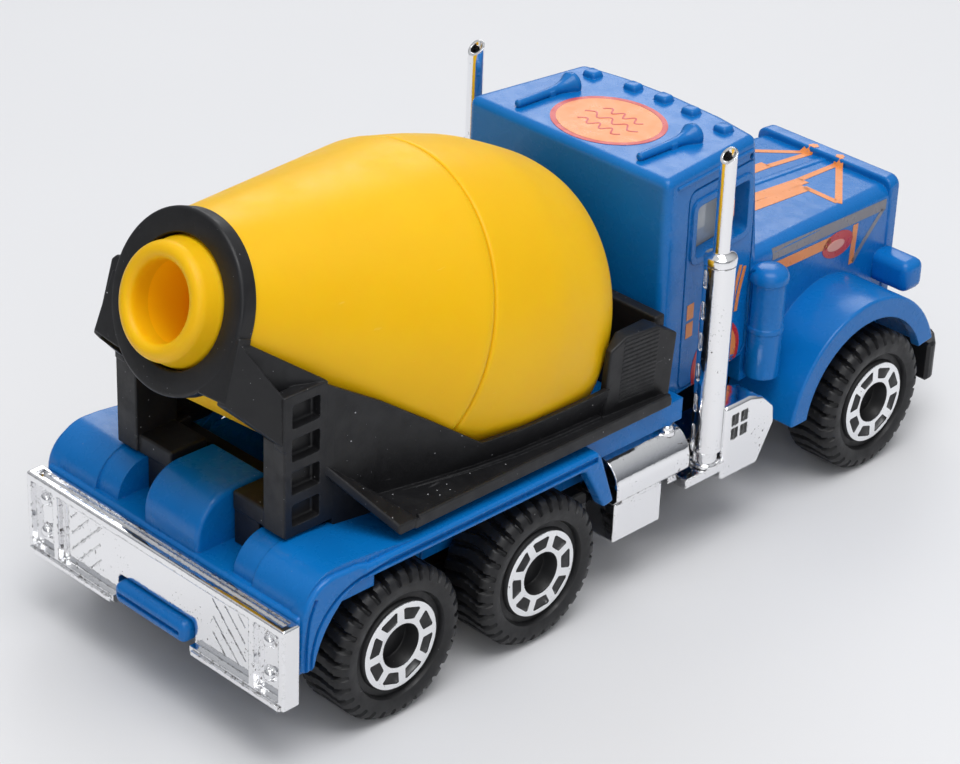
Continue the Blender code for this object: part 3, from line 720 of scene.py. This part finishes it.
# ---------------- chromed tanks, steps, battery boxes and stacks
def tank_shape(side, label):
    def wide(a, b):
        return tuple(sorted((side * a, side * b)))

    outline = [(side * x, z) for x, z in [(10.4, 12), (12.5, 12)] + arc((11.9, 9.6), 2.4, 74, 0, 12)
        + [(14.3, 8.7), (13.9, 8.25), (10.4, 8.25)]]
    tank = soft_loft("chrome_tank_" + label, [[(x, d, z) for x, z in outline] for d in (34.05, 42.3)], 0.2, 3,
        40)
    battery = soft_prism("battery_box_" + label, [(46.5, 5.6), (50.9, 5.6), (52.7, 8.8), (52.5, 10.4),
        (51, 11.7), (49.5, 12.2), (46.5, 12.2)], wide(11.3, 14.2), 0.35, 4)
    adds = [soft_block("step_" + label, wide(10.9, 14.1), (34.1, 39.5), (4.85, 8.4), 0.25),
        soft_block("link_" + label, wide(11.6, 14.35), (42, 46.6), (6.7, 7.55), 0.12, 2),
        soft_block("web_" + label, wide(11.6, 13), (41.4, 42.2), (6.8, 9), 0.1, 2),
        block("inner_flange_" + label, wide(8.4, 11.6), (35, 50), (7.2, 8.9)), battery,
        soft_block("step_tread_" + label, wide(11.6, 14.25), (34.6, 39), (8.3, 8.62), 0.1, 2),
        turned("tank_cap_" + label, [(0, 0.5), (0.42, 0.5), (0.55, 0.4), (0.58, 0.15), (0.72, 0.05),
        (0.72, -0.3), (0, -0.3)], 28, upright(side * 12.75, 41, 11.85))]
    cuts = [soft_block("vent_%s_%d_%d" % (label, row, column), wide(13.75, 15),
        (47.25 + 1.1 * column, 48.1 + 1.1 * column), (9.1 + 1.25 * row, 10.1 + 1.25 * row), 0.08, 2)
        for row in (0, 1) for column in (0, 1)]
    combine(tank, "UNION", adds)
    return combine(tank, "DIFFERENCE", cuts)


SHIELD_R, SLOT_PITCH, SLOT_ROWS = 1.27, 2.7, 6
SLOT = arc((0, 0.55), 0.26, 0, 180, 8) + arc((0, -0.55), 0.26, 180, 360, 8)


def stack_shape(side, label):
    place = upright(side * STACK_X, STACK_D)
    stack = turned("chrome_stack_" + label, [(0, 30.8), (0.46, 30.8), (0.46, 34.6), (0.5, 34.68),
        (0.6, 34.68), (0.66, 34.58), (0.66, 26.3), (0.74, 26.18), (1, 26.08), (1.25, 25.92), (1.31, 25.75),
        (1.31, 25.3), (1.2, 25.15), (0.95, 25.1), (0.95, 7.9), (1.15, 7.85), (1.2, 7.75), (1.2, 7.62),
        (0, 7.62)], 40, place)
    shield = turned("stack_shield_" + label, [(SHIELD_R, 25.2), (SHIELD_R, 9), (0.99, 9), (0.99, 25.2)], 48,
        place, closed=True)
    slots = []
    for column in range(3):
        for row in range(SLOT_ROWS):
            z = 10.6 + SLOT_PITCH * (row + 0.5 * (column % 2))
            if z < 24.4:
                spot = upright(side * STACK_X, STACK_D, z) @ turn(90 + side * (16 + 60 * column), "Z")
                slots.append(solid("slot_%s_%d_%d" % (label, column, row),
                    [[spot @ (Vector((r, u, v)) * MM) for u, v in SLOT] for r in (0.97, 1.6)]))
    combine(shield, "DIFFERENCE", slots)
    mouth = block("stack_mouth_" + label, (side * STACK_X - 2, side * STACK_X + 2), (-4, 4), (0, 4))
    mouth.data.transform(upright(0, STACK_D, 34.25) @ turn(-38, "X") @ Matrix.Translation(-at(0, 0, 0)))
    combine(stack, "UNION", [shield])
    return combine(stack, "DIFFERENCE", [mouth])


# painted shade: a thin black sheet that shows only at the floors of the chrome battery boxes' vent recesses
vent_painted_shade = mirrored(block("battery_vent_painted_shade", (13.5, 13.8), (47, 49.5), (9, 11.5)))
piece(vent_painted_shade, BLACK, "truck")
for side, label in SIDES:
    piece(tank_shape(side, label), CHROME, "truck", ["tank_step_" + label])
    piece(stack_shape(side, label), CHROME, "truck", ["exhaust_stack_" + label])
    clear_scratch()


# ---------------- mixer frame
# side walls, leaning outwards round the drum: d, top x, top z, foot x, foot z
WALL = [(4.75, 9.3, 26.55, 9.3, 15.2), (8.6, 9.3, 26.3, 9.3, 15.2), (9.2, 9.4, 25.95, 9.3, 15.2),
    (9.25, 9.4, 25.9, 9.3, 14.25), (13, 10.25, 23.7, 9.4, 14.25), (17, 11.4, 21, 10.45, 14.25),
    (21.1, 12.3, 18.1, 11.4, 14.25), (25, 12.85, 18.1, 12, 14.25), (29.5, 12.95, 18.1, 12.25, 14.25),
    (34, 12.95, 18.1, 12.35, 14.25)]
BLOCK_FOOT, BLOCK_TOP = 14.3, 22


def block_side(d, z, offset):
    """Point on the front block's leaning left side."""
    foot = 12.65 + (d - 35.4) / 3.2 * 0.25
    top = 13.1 + (d - 35.4) / 3.2 * 0.2
    return foot + (top - foot) * (z - BLOCK_FOOT) / (BLOCK_TOP - BLOCK_FOOT) + offset, d, z


def frame_shape():
    ring = turned("black_mixer_frame", arc((RING_IN + 0.16, 0.16), 0.16, 180, 270, 3)
        + arc((RING_OUT - 0.28, 0.28), 0.28, 270, 360, 5) + [(RING_OUT, RING_T), (RING_IN, RING_T)], 128,
        along_drum(), closed=True)
    wall = soft_loft("side_wall", [[(foot_x, d, foot), (foot_x, d, 15.95), (top_x, d, top),
        (top_x - 0.45, d, top), (foot_x - 0.45, d, 15.95), (foot_x - 0.45, d, foot)] for d, top_x, top,
        foot_x, foot in WALL], 0.1, 2, 50)
    wing = soft_loft("wing", [[drum_plane(6.9, -0.4, 0.08), drum_plane(7.2, -5, 0.08),
        drum_plane(6.3, -5.2, 0.08), drum_plane(5.8, -0.4, 0.08)],
        [(9.25, 4.8, 26.5), (9.25, 4.8, 22.5), (8.2, 4.8, 22.5), (8.2, 4.8, 26.5)]], 0.12, 2)
    ring_plate = soft_loft("ring_plate", [[drum_plane(x, up, s) for x,
        up in ((5.3, -0.15), (6.9, -0.15), (7.2, -4.9), (4.35, -5.1), (4, -4.2))] for s in (0.03, 1.2)], 0.15,
        3)
    lug = soft_loft("lug", [[drum_plane(x, up, s) for x,
        up in ((6.2, 0.9), (7.2, 0.9), (7.6, 0.45), (7.35, -3.9), (6.9, -4.5), (6, -4.6))]
        for s in (0.32, 1.26)], 0.2, 3)
    low_lug = soft_loft("low_lug", [[drum_plane(-x, up, s) for x, up in ((5.8, -0.25), (6.7, -0.25),
        (7.05, -0.65), (7, -4.1), (6.65, -4.6), (5.8, -4.6))] for s in (0.32, 1.26)], 0.2, 3)
    web = soft_loft("web", [[drum_plane(x, up, 0.9) for x,
        up in ((7, -0.5), (7, -4.6), (6.45, -4.6), (6.45, -0.5))],
        [(9.25, 8.6, 26.6), (9.25, 8.6, 22), (8.65, 8.6, 22), (8.65, 8.6, 26.6)]], 0.1, 2)
    ladder = soft_block("ladder", (7, 9.28), (4.65, 8.55), (15.2, 22.7), 0.15)
    ladder_head = soft_block("ladder_head", (8.2, 9.32), (4.6, 8.7), (22.2, 26.6), 0.15)
    reach = ((9.12, 12.9), (10.17, 16.8), (11.13, 20.9), (11.73, 24.7), (12, 29.2), (12.13, 33.4), (12.3, 40))
    shelf = soft_loft("shelf", [[(x, d, 14.9), (14, d, 14.9), (14, d, 15.62), (x, d, 15.62)] for x,
        d in reach], 0.12, 2, 50)
    lip = soft_block("shelf_lip", (13.55, 13.98), (13.3, 39.9), (15.3, 15.92), 0.12)
    gutter = soft_loft("shelf_step",
        [[(x + 0.2, d, 15.3), (x + 0.75, d, 15.3), (x + 0.6, d, top), (x + 0.2, d, top)] for (x, d),
        top in zip(reach[:-1], (15.6, 15.68, 15.8, 15.86, 15.86, 15.86))], 0.05, 2, 50)
    flange = soft_loft("flange",
        [[(9, 8.3, 20.1), (13.95, 11.4, 15.75), (13.95, 13.2, 15.75), (9.1, 13.3, 15.75)],
        [(9, 8.3, 19.2), (13.95, 11.4, 14.95), (13.95, 13.2, 14.95), (9.1, 13.3, 14.95)]], 0.14, 3)
    bulk = soft_loft("front_block", [[(11.75, 33.75, 14.3), (12.55, 33.75, 14.3), (13, 33.75, 21.3),
        (12.4, 33.75, 21.3)], [(11.7, 35.4, 14.3), (12.65, 35.4, 14.3), (13.1, 35.4, 22.1),
        (11.8, 35.4, 22.1)], [(11.6, 38.6, 14.3), (12.9, 38.6, 14.3), (13.3, 38.6, 22), (11.6, 38.6, 22)],
        [(11.9, 40.55, 14.3), (13.1, 40.55, 14.3), (13.6, 40.55, 20.9), (11.9, 40.55, 20.9)]], 0.18, 3, 50)
    ribs = [mirrored(on_surface("block_rib_%d" % i,
        [(35.2, z), (38.8, z), (38.8, z + 0.19), (35.2, z + 0.19)], block_side, -0.3, 0.04)) for i,
        z in enumerate([16.3 + 0.37 * n for n in range(15)])]
    cross_wall = soft_block("cross_wall", (-12.2, 12.2), (39.5, 40.6), (14.25, 21.95), 0.2)
    cross_bar = soft_block("cross_bar", (-9.1, 9.1), (9.3, 10.6), (14.25, 15.3), 0.15, 2)
    foot = soft_block("foot_block", (3.4, 7.4), (4.9, 8.4), (15, 16.6), 0.22)
    peg = soft_block("foot_peg", (3.5, 6.2), (5, 7.4), (LEDGE_Z, 15.6), 0.1, 2)
    rail = soft_block("foot_rail", (6.8, 7.6), (8.1, 9.7), (15.1, 16.4), 0.1, 2)
    for half in (wall, wing, web, ring_plate, ladder, ladder_head, shelf, lip, gutter, flange, bulk, foot,
            peg, rail):
        mirrored(half)
    combine(ring, "UNION", [ring_plate, wing, web, lug, low_lug, ladder, ladder_head, wall])
    combine(ring, "UNION", [shelf, lip, gutter, flange, cross_wall, bulk, cross_bar, foot, peg, rail] + ribs)
    gaps = [mirrored(soft_block("ladder_gap_%d" % (i + 1), (8.45, 10), (5.35, 7.95), z, 0.2)) for i,
        z in enumerate(((23.9, 25.8), (21.25, 23.1), (18.6, 20.45), (16, 17.8)))]
    pivot_bore = turned("pivot_bore", [(0, 42), (1.07, 42), (1.07, 37.5), (0, 37.5)], 32, along_drum())
    return combine(ring, "DIFFERENCE", gaps + [pivot_bore])


piece(frame_shape(), BLACK, "truck", ["mixer_frame"])
clear_scratch()

# ---------------- drum
MOUTH = ([(6.1, 4.8), (3.5, 4.6)] + flowing([(3.25, 4.2), (3.06, 1.2), (2.98, -0.4), (2.94, -1.1),
    (3.02, -1.45), (3.25, -1.68), (3.55, -1.76), (3.85, -1.69), (4.1, -1.48), (4.26, -1.15), (4.34, -0.7),
    (4.47, -0.1), (4.62, 0.3), (4.72, 0.7)], 4) + [(4.72, 1.42), (6.4, 1.42), (6.55, 1.6)])
CONE_END = SEAM_S - SEAM_GAP
rear_profile = MOUTH + [(12.22, 18.1), (12.42, 18.72), (12.5, 19.1), (12.46, CONE_END - 0.1),
    (12.35, CONE_END), (11.6, CONE_END)]
nose = flowing([(12.3, 19.55), (12.52, 19.7), (12.62, 20.3), (12.86, 22.6), (12.97, 24.6), (13, 25.9),
    (12.92, 27.4), (12.55, 30.6), (12.2, 32.4), (11.5, 34), (10, 35.3), (8, 36.3), (5.4, 37.15), (2.5, 37.72),
    (1, 37.9)], 5)
front_profile = [(0, 36.8), (5, 36.4), (7.4, 35.7), (9.2, 34.8), (10.5, 33.5), (11.6, 30.8), (12.05, 25.9),
    (11.67, 19.55)] + nose + [(1, 39.75), (0.85, 39.9), (0, 39.9)]
DRUM_STEPS = 160
rear_drum = piece(turned("yellow_drum_rear", rear_profile, DRUM_STEPS, along_drum(), closed=True), YELLOW,
    "drum", ["drum_rear_shell"], 50)
front_drum = piece(turned("yellow_drum_front", front_profile, DRUM_STEPS, along_drum()), YELLOW, "drum",
    ["drum_front_shell"], 50)
# inner faces, given a painted glow that stands in for light through the thin wall: those that look towards
# the drum's axis from inside the mouth
axis_start = along_drum() @ Vector((0, 0, 0))
axis_way = (along_drum() @ Vector((0, 0, 1)) - axis_start).normalized()
for shell in (rear_drum, front_drum):
    # painted glow material for the drum's inner faces
    shell.data.materials.append(YELLOW_PAINTED_GLOW.material)
    for polygon in shell.data.polygons:
        from_start = polygon.center - axis_start
        height = from_start.dot(axis_way)
        outwards = from_start - axis_way * height
        if height > 0.2 * MM and outwards.dot(polygon.normal) < -0.3 * outwards.length:
            polygon.material_index = 1

# ---------------- wheels
LUGS, LUG_STEPS = 32, 10
GROOVE_DEPTH, GROOVE_SHARE, CHEVRON = 0.46, 0.34, 0.34
MIDDLE = (WHEEL_IN + WHEEL_OUT) / 2
TREAD_IN, TREAD_OUT = WHEEL_IN + 0.6, WHEEL_OUT - 0.7


def tyre_profile():
    """Radius, x and how deep the grooves are there as a share of their full depth."""
    tread = [(WHEEL_R, TREAD_OUT - (TREAD_OUT - TREAD_IN) * i / 12, 1) for i in range(13)]
    outer = [(0, 13.3, 0), (1.62, 13.3, 0), (1.7, 13.4, 0), (1.74, 14.5, 0), (1.8, 14.58, 0), (3.5, 14.58, 0),
        (3.6, 14.5, 0), (3.68, 14.25, 0), (4.15, 14.22, 0), (4.24, 14.5, 0), (4.34, 14.66, 0),
        (4.7, 14.76, 0), (5.1, WHEEL_OUT, 0), (5.32, 14.78, 0.25), (5.5, 14.72, 0.8), (5.75, 14.6, 1),
        (5.95, 14.4, 1)]
    inner = [(5.9, WHEEL_IN + 0.3, 0.7), (5.5, WHEEL_IN, 0.1), (4.6, WHEEL_IN, 0), (4.2, WHEEL_IN + 1.2, 0),
        (1.6, WHEEL_IN + 1.2, 0), (1.4, WHEEL_IN, 0), (0.57, WHEEL_IN, 0), (0.57, 13.2, 0), (0, 13.2, 0)]
    return outer + tread + inner


def groove(angle, x):
    """Share of the groove's depth at an angle and a place across the tread."""
    kink = CHEVRON * (1 - abs(x - MIDDLE) / ((TREAD_OUT - TREAD_IN) / 2))
    phase = (angle * LUGS / (2 * pi) + max(kink, -0.3)) % 1
    edge = abs(phase - 0.5) / 0.5
    return min(max((edge - (1 - GROOVE_SHARE)) / 0.1, 0), 1)


def tyre_mesh():
    steps = LUGS * LUG_STEPS
    rings = []
    for radius, x, depth in tyre_profile():
        ring = []
        for i in range(steps if radius > 1e-6 else 1):
            angle = 2 * pi * i / steps
            r = radius - GROOVE_DEPTH * depth * groove(angle, x)
            ring.append(Vector((x - MIDDLE, r * cos(angle), r * sin(angle))) * MM)
        rings.append(ring)
    return solid("tyre", rings, capped=False)


WINDOWS = 8


def foil_mesh():
    """Stamped silver face: a rim ring, a hub ring and spokes between the windows."""
    face = turned("foil", [(3.52, 14.5), (3.52, 14.63), (3.42, 14.68), (1.88, 14.68), (1.78, 14.63),
        (1.78, 14.5)], 96, Matrix.Translation(Vector((-MIDDLE, 0, 0)) * MM) @ turn(90, "Y"), closed=True)
    cuts = []
    for i in range(WINDOWS):
        centre = 2 * pi * (i + 0.5) / WINDOWS
        half_inner, half_outer = 0.24, 0.285
        outline = [(2.22, centre - half_inner), (3.06, centre - half_outer),
            (3.14, centre - half_outer + 0.06), (3.14, centre + half_outer - 0.06),
            (3.06, centre + half_outer), (2.22, centre + half_inner), (2.15, centre + half_inner - 0.08),
            (2.15, centre - half_inner + 0.08)]
        cuts.append(solid("window_%d" % i,
            [[Vector((x - MIDDLE, r * cos(a), r * sin(a))) * MM for r, a in outline] for x in (14.3, 14.9)]))
    return combine(face, "DIFFERENCE", cuts)


tyre = shown_mesh(tyre_mesh())
foil = shown_mesh(foil_mesh())
for mesh, look, angle in ((tyre, TYRE, 42), (foil, FOIL, 40)):
    smooth_by_angle(mesh, angle)
    dress(mesh, look)
clear_scratch()
for i, (axle, d) in enumerate(AXLES.items()):
    for side, label in SIDES:
        name = "wheel_%s_%s" % (axle, label)
        for part, mesh in (("tyre", tyre), ("foil", foil)):
            placed = mesh.copy()
            placed.transform(upright(side * MIDDLE, d, WHEEL_R) @ turn(7 + 23 * i + 11 * side, "X")
                @ turn(90 - 90 * side, "Z"))
            made = show("%s_%s" % (part, name), placed)
            made.modifiers.new("normals", "WEIGHTED_NORMAL").keep_sharp = True
            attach(made, name)
            if part == "tyre":
                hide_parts(name)

# ---------------- printed decoration
body_tree = BVHTree.FromObject(cab_piece, bpy.context.evaluated_depsgraph_get())
PRINT_T = 0.025


def printed(name, edge_a, edge_b, spread, cast, look, both=True, lift=0.008):
    """Thin print between two edges, where rays meet the body; cast holds the rays' start(u, v) and way."""
    start, along = cast
    for side, label in (SIDES if both else ((1, "middle"),)):
        bm = bmesh.new()
        grid = []
        for k in range(spread + 1):
            row = []
            for (ua, va), (ub, vb) in zip(edge_a, edge_b):
                u, v = ua + (ub - ua) * k / spread, va + (vb - va) * k / spread
                source, way = start(u, v), Vector(along)
                source.x *= side
                way.x *= side
                spot, normal, _, _ = body_tree.ray_cast(source, way)
                row.append(bm.verts.new(spot + normal * lift * MM) if spot else None)
            grid.append(row)
        for a, b in zip(grid, grid[1:]):
            for i in range(len(a) - 1):
                corners = [a[i], a[i + 1], b[i + 1], b[i]]
                if all(corners):
                    face = bm.faces.new(corners)
                    face.normal_update()
                    if face.normal.dot(Vector((along[0] * side, along[1], along[2]))) > 0:
                        face.normal_flip()
        made = from_bmesh("%s_%s" % (name, label), bm)
        thick = made.modifiers.new("thickness", "SOLIDIFY")
        thick.thickness = PRINT_T * MM
        thick.offset = 1
        piece(made, look, "truck")


INWARDS = (lambda d, z: at(20, d, z)), (-1, 0, 0)
DOWN = (lambda x, d: at(x, d, 45)), (0, 0, -1)


def dense(points, count=24):
    """Points spread evenly along a polyline."""
    lengths = [0]
    for a, b in zip(points, points[1:]):
        lengths.append(lengths[-1] + (Vector(b) - Vector(a)).length)
    spread_out = []
    for i in range(count + 1):
        want = lengths[-1] * i / count
        k = max(j for j in range(len(points) - 1) if lengths[j] <= want + 1e-9)
        t = (want - lengths[k]) / (lengths[k + 1] - lengths[k])
        spread_out.append(tuple(Vector(points[k]).lerp(Vector(points[k + 1]), t)))
    return spread_out


def band(name, path, width, cast, look, both=True, count=24, lift=0.008):
    outline = strip(dense(path, count), width)
    half = len(outline) // 2
    printed(name, outline[:half], outline[half:][::-1], 2, cast, look, both, lift)


def oval(name, centre, axes, inner, cast, look, both=True, tilt=0, lift=0.008):
    """Ring, or full oval where inner is 0, between two shares of its axes."""
    turn_by = Matrix.Rotation(radians(tilt), 2)

    def line(share):
        return [tuple(Vector(centre) + turn_by @ Vector((axes[0] * cos(a), axes[1] * sin(a))) * share)
            for a in [2 * pi * i / 48 for i in range(49)]]

    printed(name, line(1), line(max(inner, 0.01)), 3 if inner else 10, cast, look, both, lift)


oval("roof_oval", (0.1, 46.6), (4.45, 3.85), 0, DOWN, ORANGE, False)
oval("roof_oval_rim", (0.1, 46.6), (4.9, 4.3), 0.905, DOWN, RED, False)
WAVE = [(-2.9, 0), (-2.2, -0.45), (-1.4, 0.35), (-0.6, -0.45), (0.2, 0.35), (1, -0.45), (1.8, 0.3),
    (2.6, -0.2)]
for label, centre_d, share in (("front", 48.1, 0.75), ("middle", 46.7, 1), ("rear", 45.3, 0.8)):
    band("roof_wave_" + label, flowing([(share * x, centre_d + d) for x, d in WAVE], 5), 0.15, DOWN, RED,
        False, 60, 0.03)
for label, rear_x, front_x, front_d in (("outer", 3.25, 3.15, 68.2), ("inner", 1.85, 2.05, 69.2)):
    band("hood_line_" + label, [(rear_x, 56.3), (front_x, front_d)], 1.2, DOWN, ORANGE)
for label, path in (("inner", [(1.75, 69), (1.45, 75)]), ("front", [(1.2, 75), (6.9, 67.9)]),
        ("outer", [(3, 68.1), (6.8, 67.95)])):
    band("hood_triangle_" + label, path, 0.62, DOWN, ORANGE)
for name, path, width, ink in (("side_band_upper", [(56.95, 20.36), (73.9, 18.95)], 0.95, PALE),
        ("side_band_lower", [(56.95, 19.12), (65.6, 18.4)], 0.95, ORANGE),
        ("side_drop", [(69.3, 18.7), (69.1, 15.1)], 0.75, ORANGE),
        ("side_rise", [(69.3, 15.2), (70.9, 16.6), (73.6, 18.7)], 0.5, PALE)):
    band(name, path, width, INWARDS, ink)
oval("side_oval", (66.7, 17.8), (2.3, 1.15), 0, INWARDS, RED, tilt=-6)
oval("side_oval_middle", (66.4, 17.8), (1.3, 0.48), 0, INWARDS, PINK, tilt=-6, lift=0.03)
STRIPE = [(52.95, 20.9), (52.75, 20.2), (52.45, 19.3), (52.2, 18.3), (52.05, 17.2)]
for label, shift in (("front", 0), ("rear", -0.6)):
    band("door_stripe_" + label, flowing([(d + shift, z - 0.5 * shift) for d, z in STRIPE], 5), 0.42, INWARDS,
        ORANGE)
for label, low, high in (("upper", 18.98, 20.3), ("lower", 17.4, 18.7)):
    band("door_mark_" + label, [(45.62, low), (45.62, high)], 0.9, INWARDS, ORANGE, count=4)
oval("door_oval", (49.6, 13.95), (2.85, 2.65), 0, INWARDS, ORANGE)
oval("door_oval_rim", (49.6, 13.95), (3.3, 3.1), 0.86, INWARDS, RED)
clear_scratch()
bpy.data.collections.remove(scratch)

# ---------------- floor, light and camera
FLOOR_HALF = 1.6
floor_mesh = bpy.data.meshes.new("floor")
floor_mesh.from_pydata([(-FLOOR_HALF, -FLOOR_HALF, 0), (FLOOR_HALF, -FLOOR_HALF, 0),
    (FLOOR_HALF, FLOOR_HALF, 0), (-FLOOR_HALF, FLOOR_HALF, 0)], [], [(0, 1, 2, 3)])
floor = show("floor", floor_mesh)
floor_look = Look("floor_paper", (0.73, 0.73, 0.745), 0.65)
floor_look.polish(30, 2, 0.6, 0.7)
floor.data.materials.append(floor_look.material)

# studio surround: bright overhead, dimmer towards the horizon, so that chrome has something to reflect
world = bpy.data.worlds.new("studio")
world.use_nodes = True
tree = world.node_tree
sky = tree.nodes["Background"]
direction = tree.nodes.new("ShaderNodeTexCoord").outputs["Generated"]
parts_of = tree.nodes.new("ShaderNodeSeparateXYZ")
shade = tree.nodes.new("ShaderNodeValToRGB")
tree.links.new(direction, parts_of.inputs["Vector"])
tree.links.new(parts_of.outputs["Z"], shade.inputs["Fac"])
stops = shade.color_ramp.elements
stops[0].position, stops[0].color = 0.02, (0.16, 0.17, 0.19, 1)
stops[1].position, stops[1].color = 0.85, (0.96, 0.98, 1, 1)
stops.new(0.35).color = (0.5, 0.52, 0.56, 1)
tree.links.new(shade.outputs["Color"], sky.inputs["Color"])
sky.inputs["Strength"].default_value = 0.62
bpy.context.scene.world = world
bpy.context.scene.view_settings.view_transform = "Standard"


def softbox(name, place, size, power):
    """Square light that faces the truck."""
    light = bpy.data.lights.new(name, "AREA")
    light.shape = "SQUARE"
    light.size = size
    light.energy = power
    obj = show(name, light)
    obj.location = place
    obj.rotation_euler = (Vector((0, 0, 0.015)) - Vector(place)).to_track_quat("-Z", "Y").to_euler()


softbox("key", (-0.1, 0.05, 0.42), 0.28, 1.15)
softbox("fill", (-0.38, 0.3, 0.22), 0.3, 0.4)
softbox("rim", (0.3, -0.3, 0.3), 0.25, 0.55)

# camera: lens and place found by fitting the photograph's view, in degrees, millimetres and sensor shares
AZIMUTH, ELEVATION, ROLL = radians(224.236), radians(29.064), radians(2.26)
CAMERA_PLACE, LENS = Vector((-143.06, 151.94, 127.53)), 112.425
backward = Vector((sin(AZIMUTH) * cos(ELEVATION), -cos(AZIMUTH) * cos(ELEVATION), sin(ELEVATION)))
level = Vector((0, 0, 1)).cross(backward).normalized()
raised = backward.cross(level)
right = level * cos(ROLL) + raised * sin(ROLL)
up = raised * cos(ROLL) - level * sin(ROLL)
stance = Matrix((right, up, backward)).transposed().to_4x4()
stance.translation = CAMERA_PLACE * MM
lens = bpy.data.cameras.new("camera")
lens.lens = LENS
lens.sensor_width = 36
lens.clip_start = 0.001
camera = show("camera", lens)
camera.matrix_world = stance
bpy.context.scene.camera = camera

bpy.context.view_layer.update()
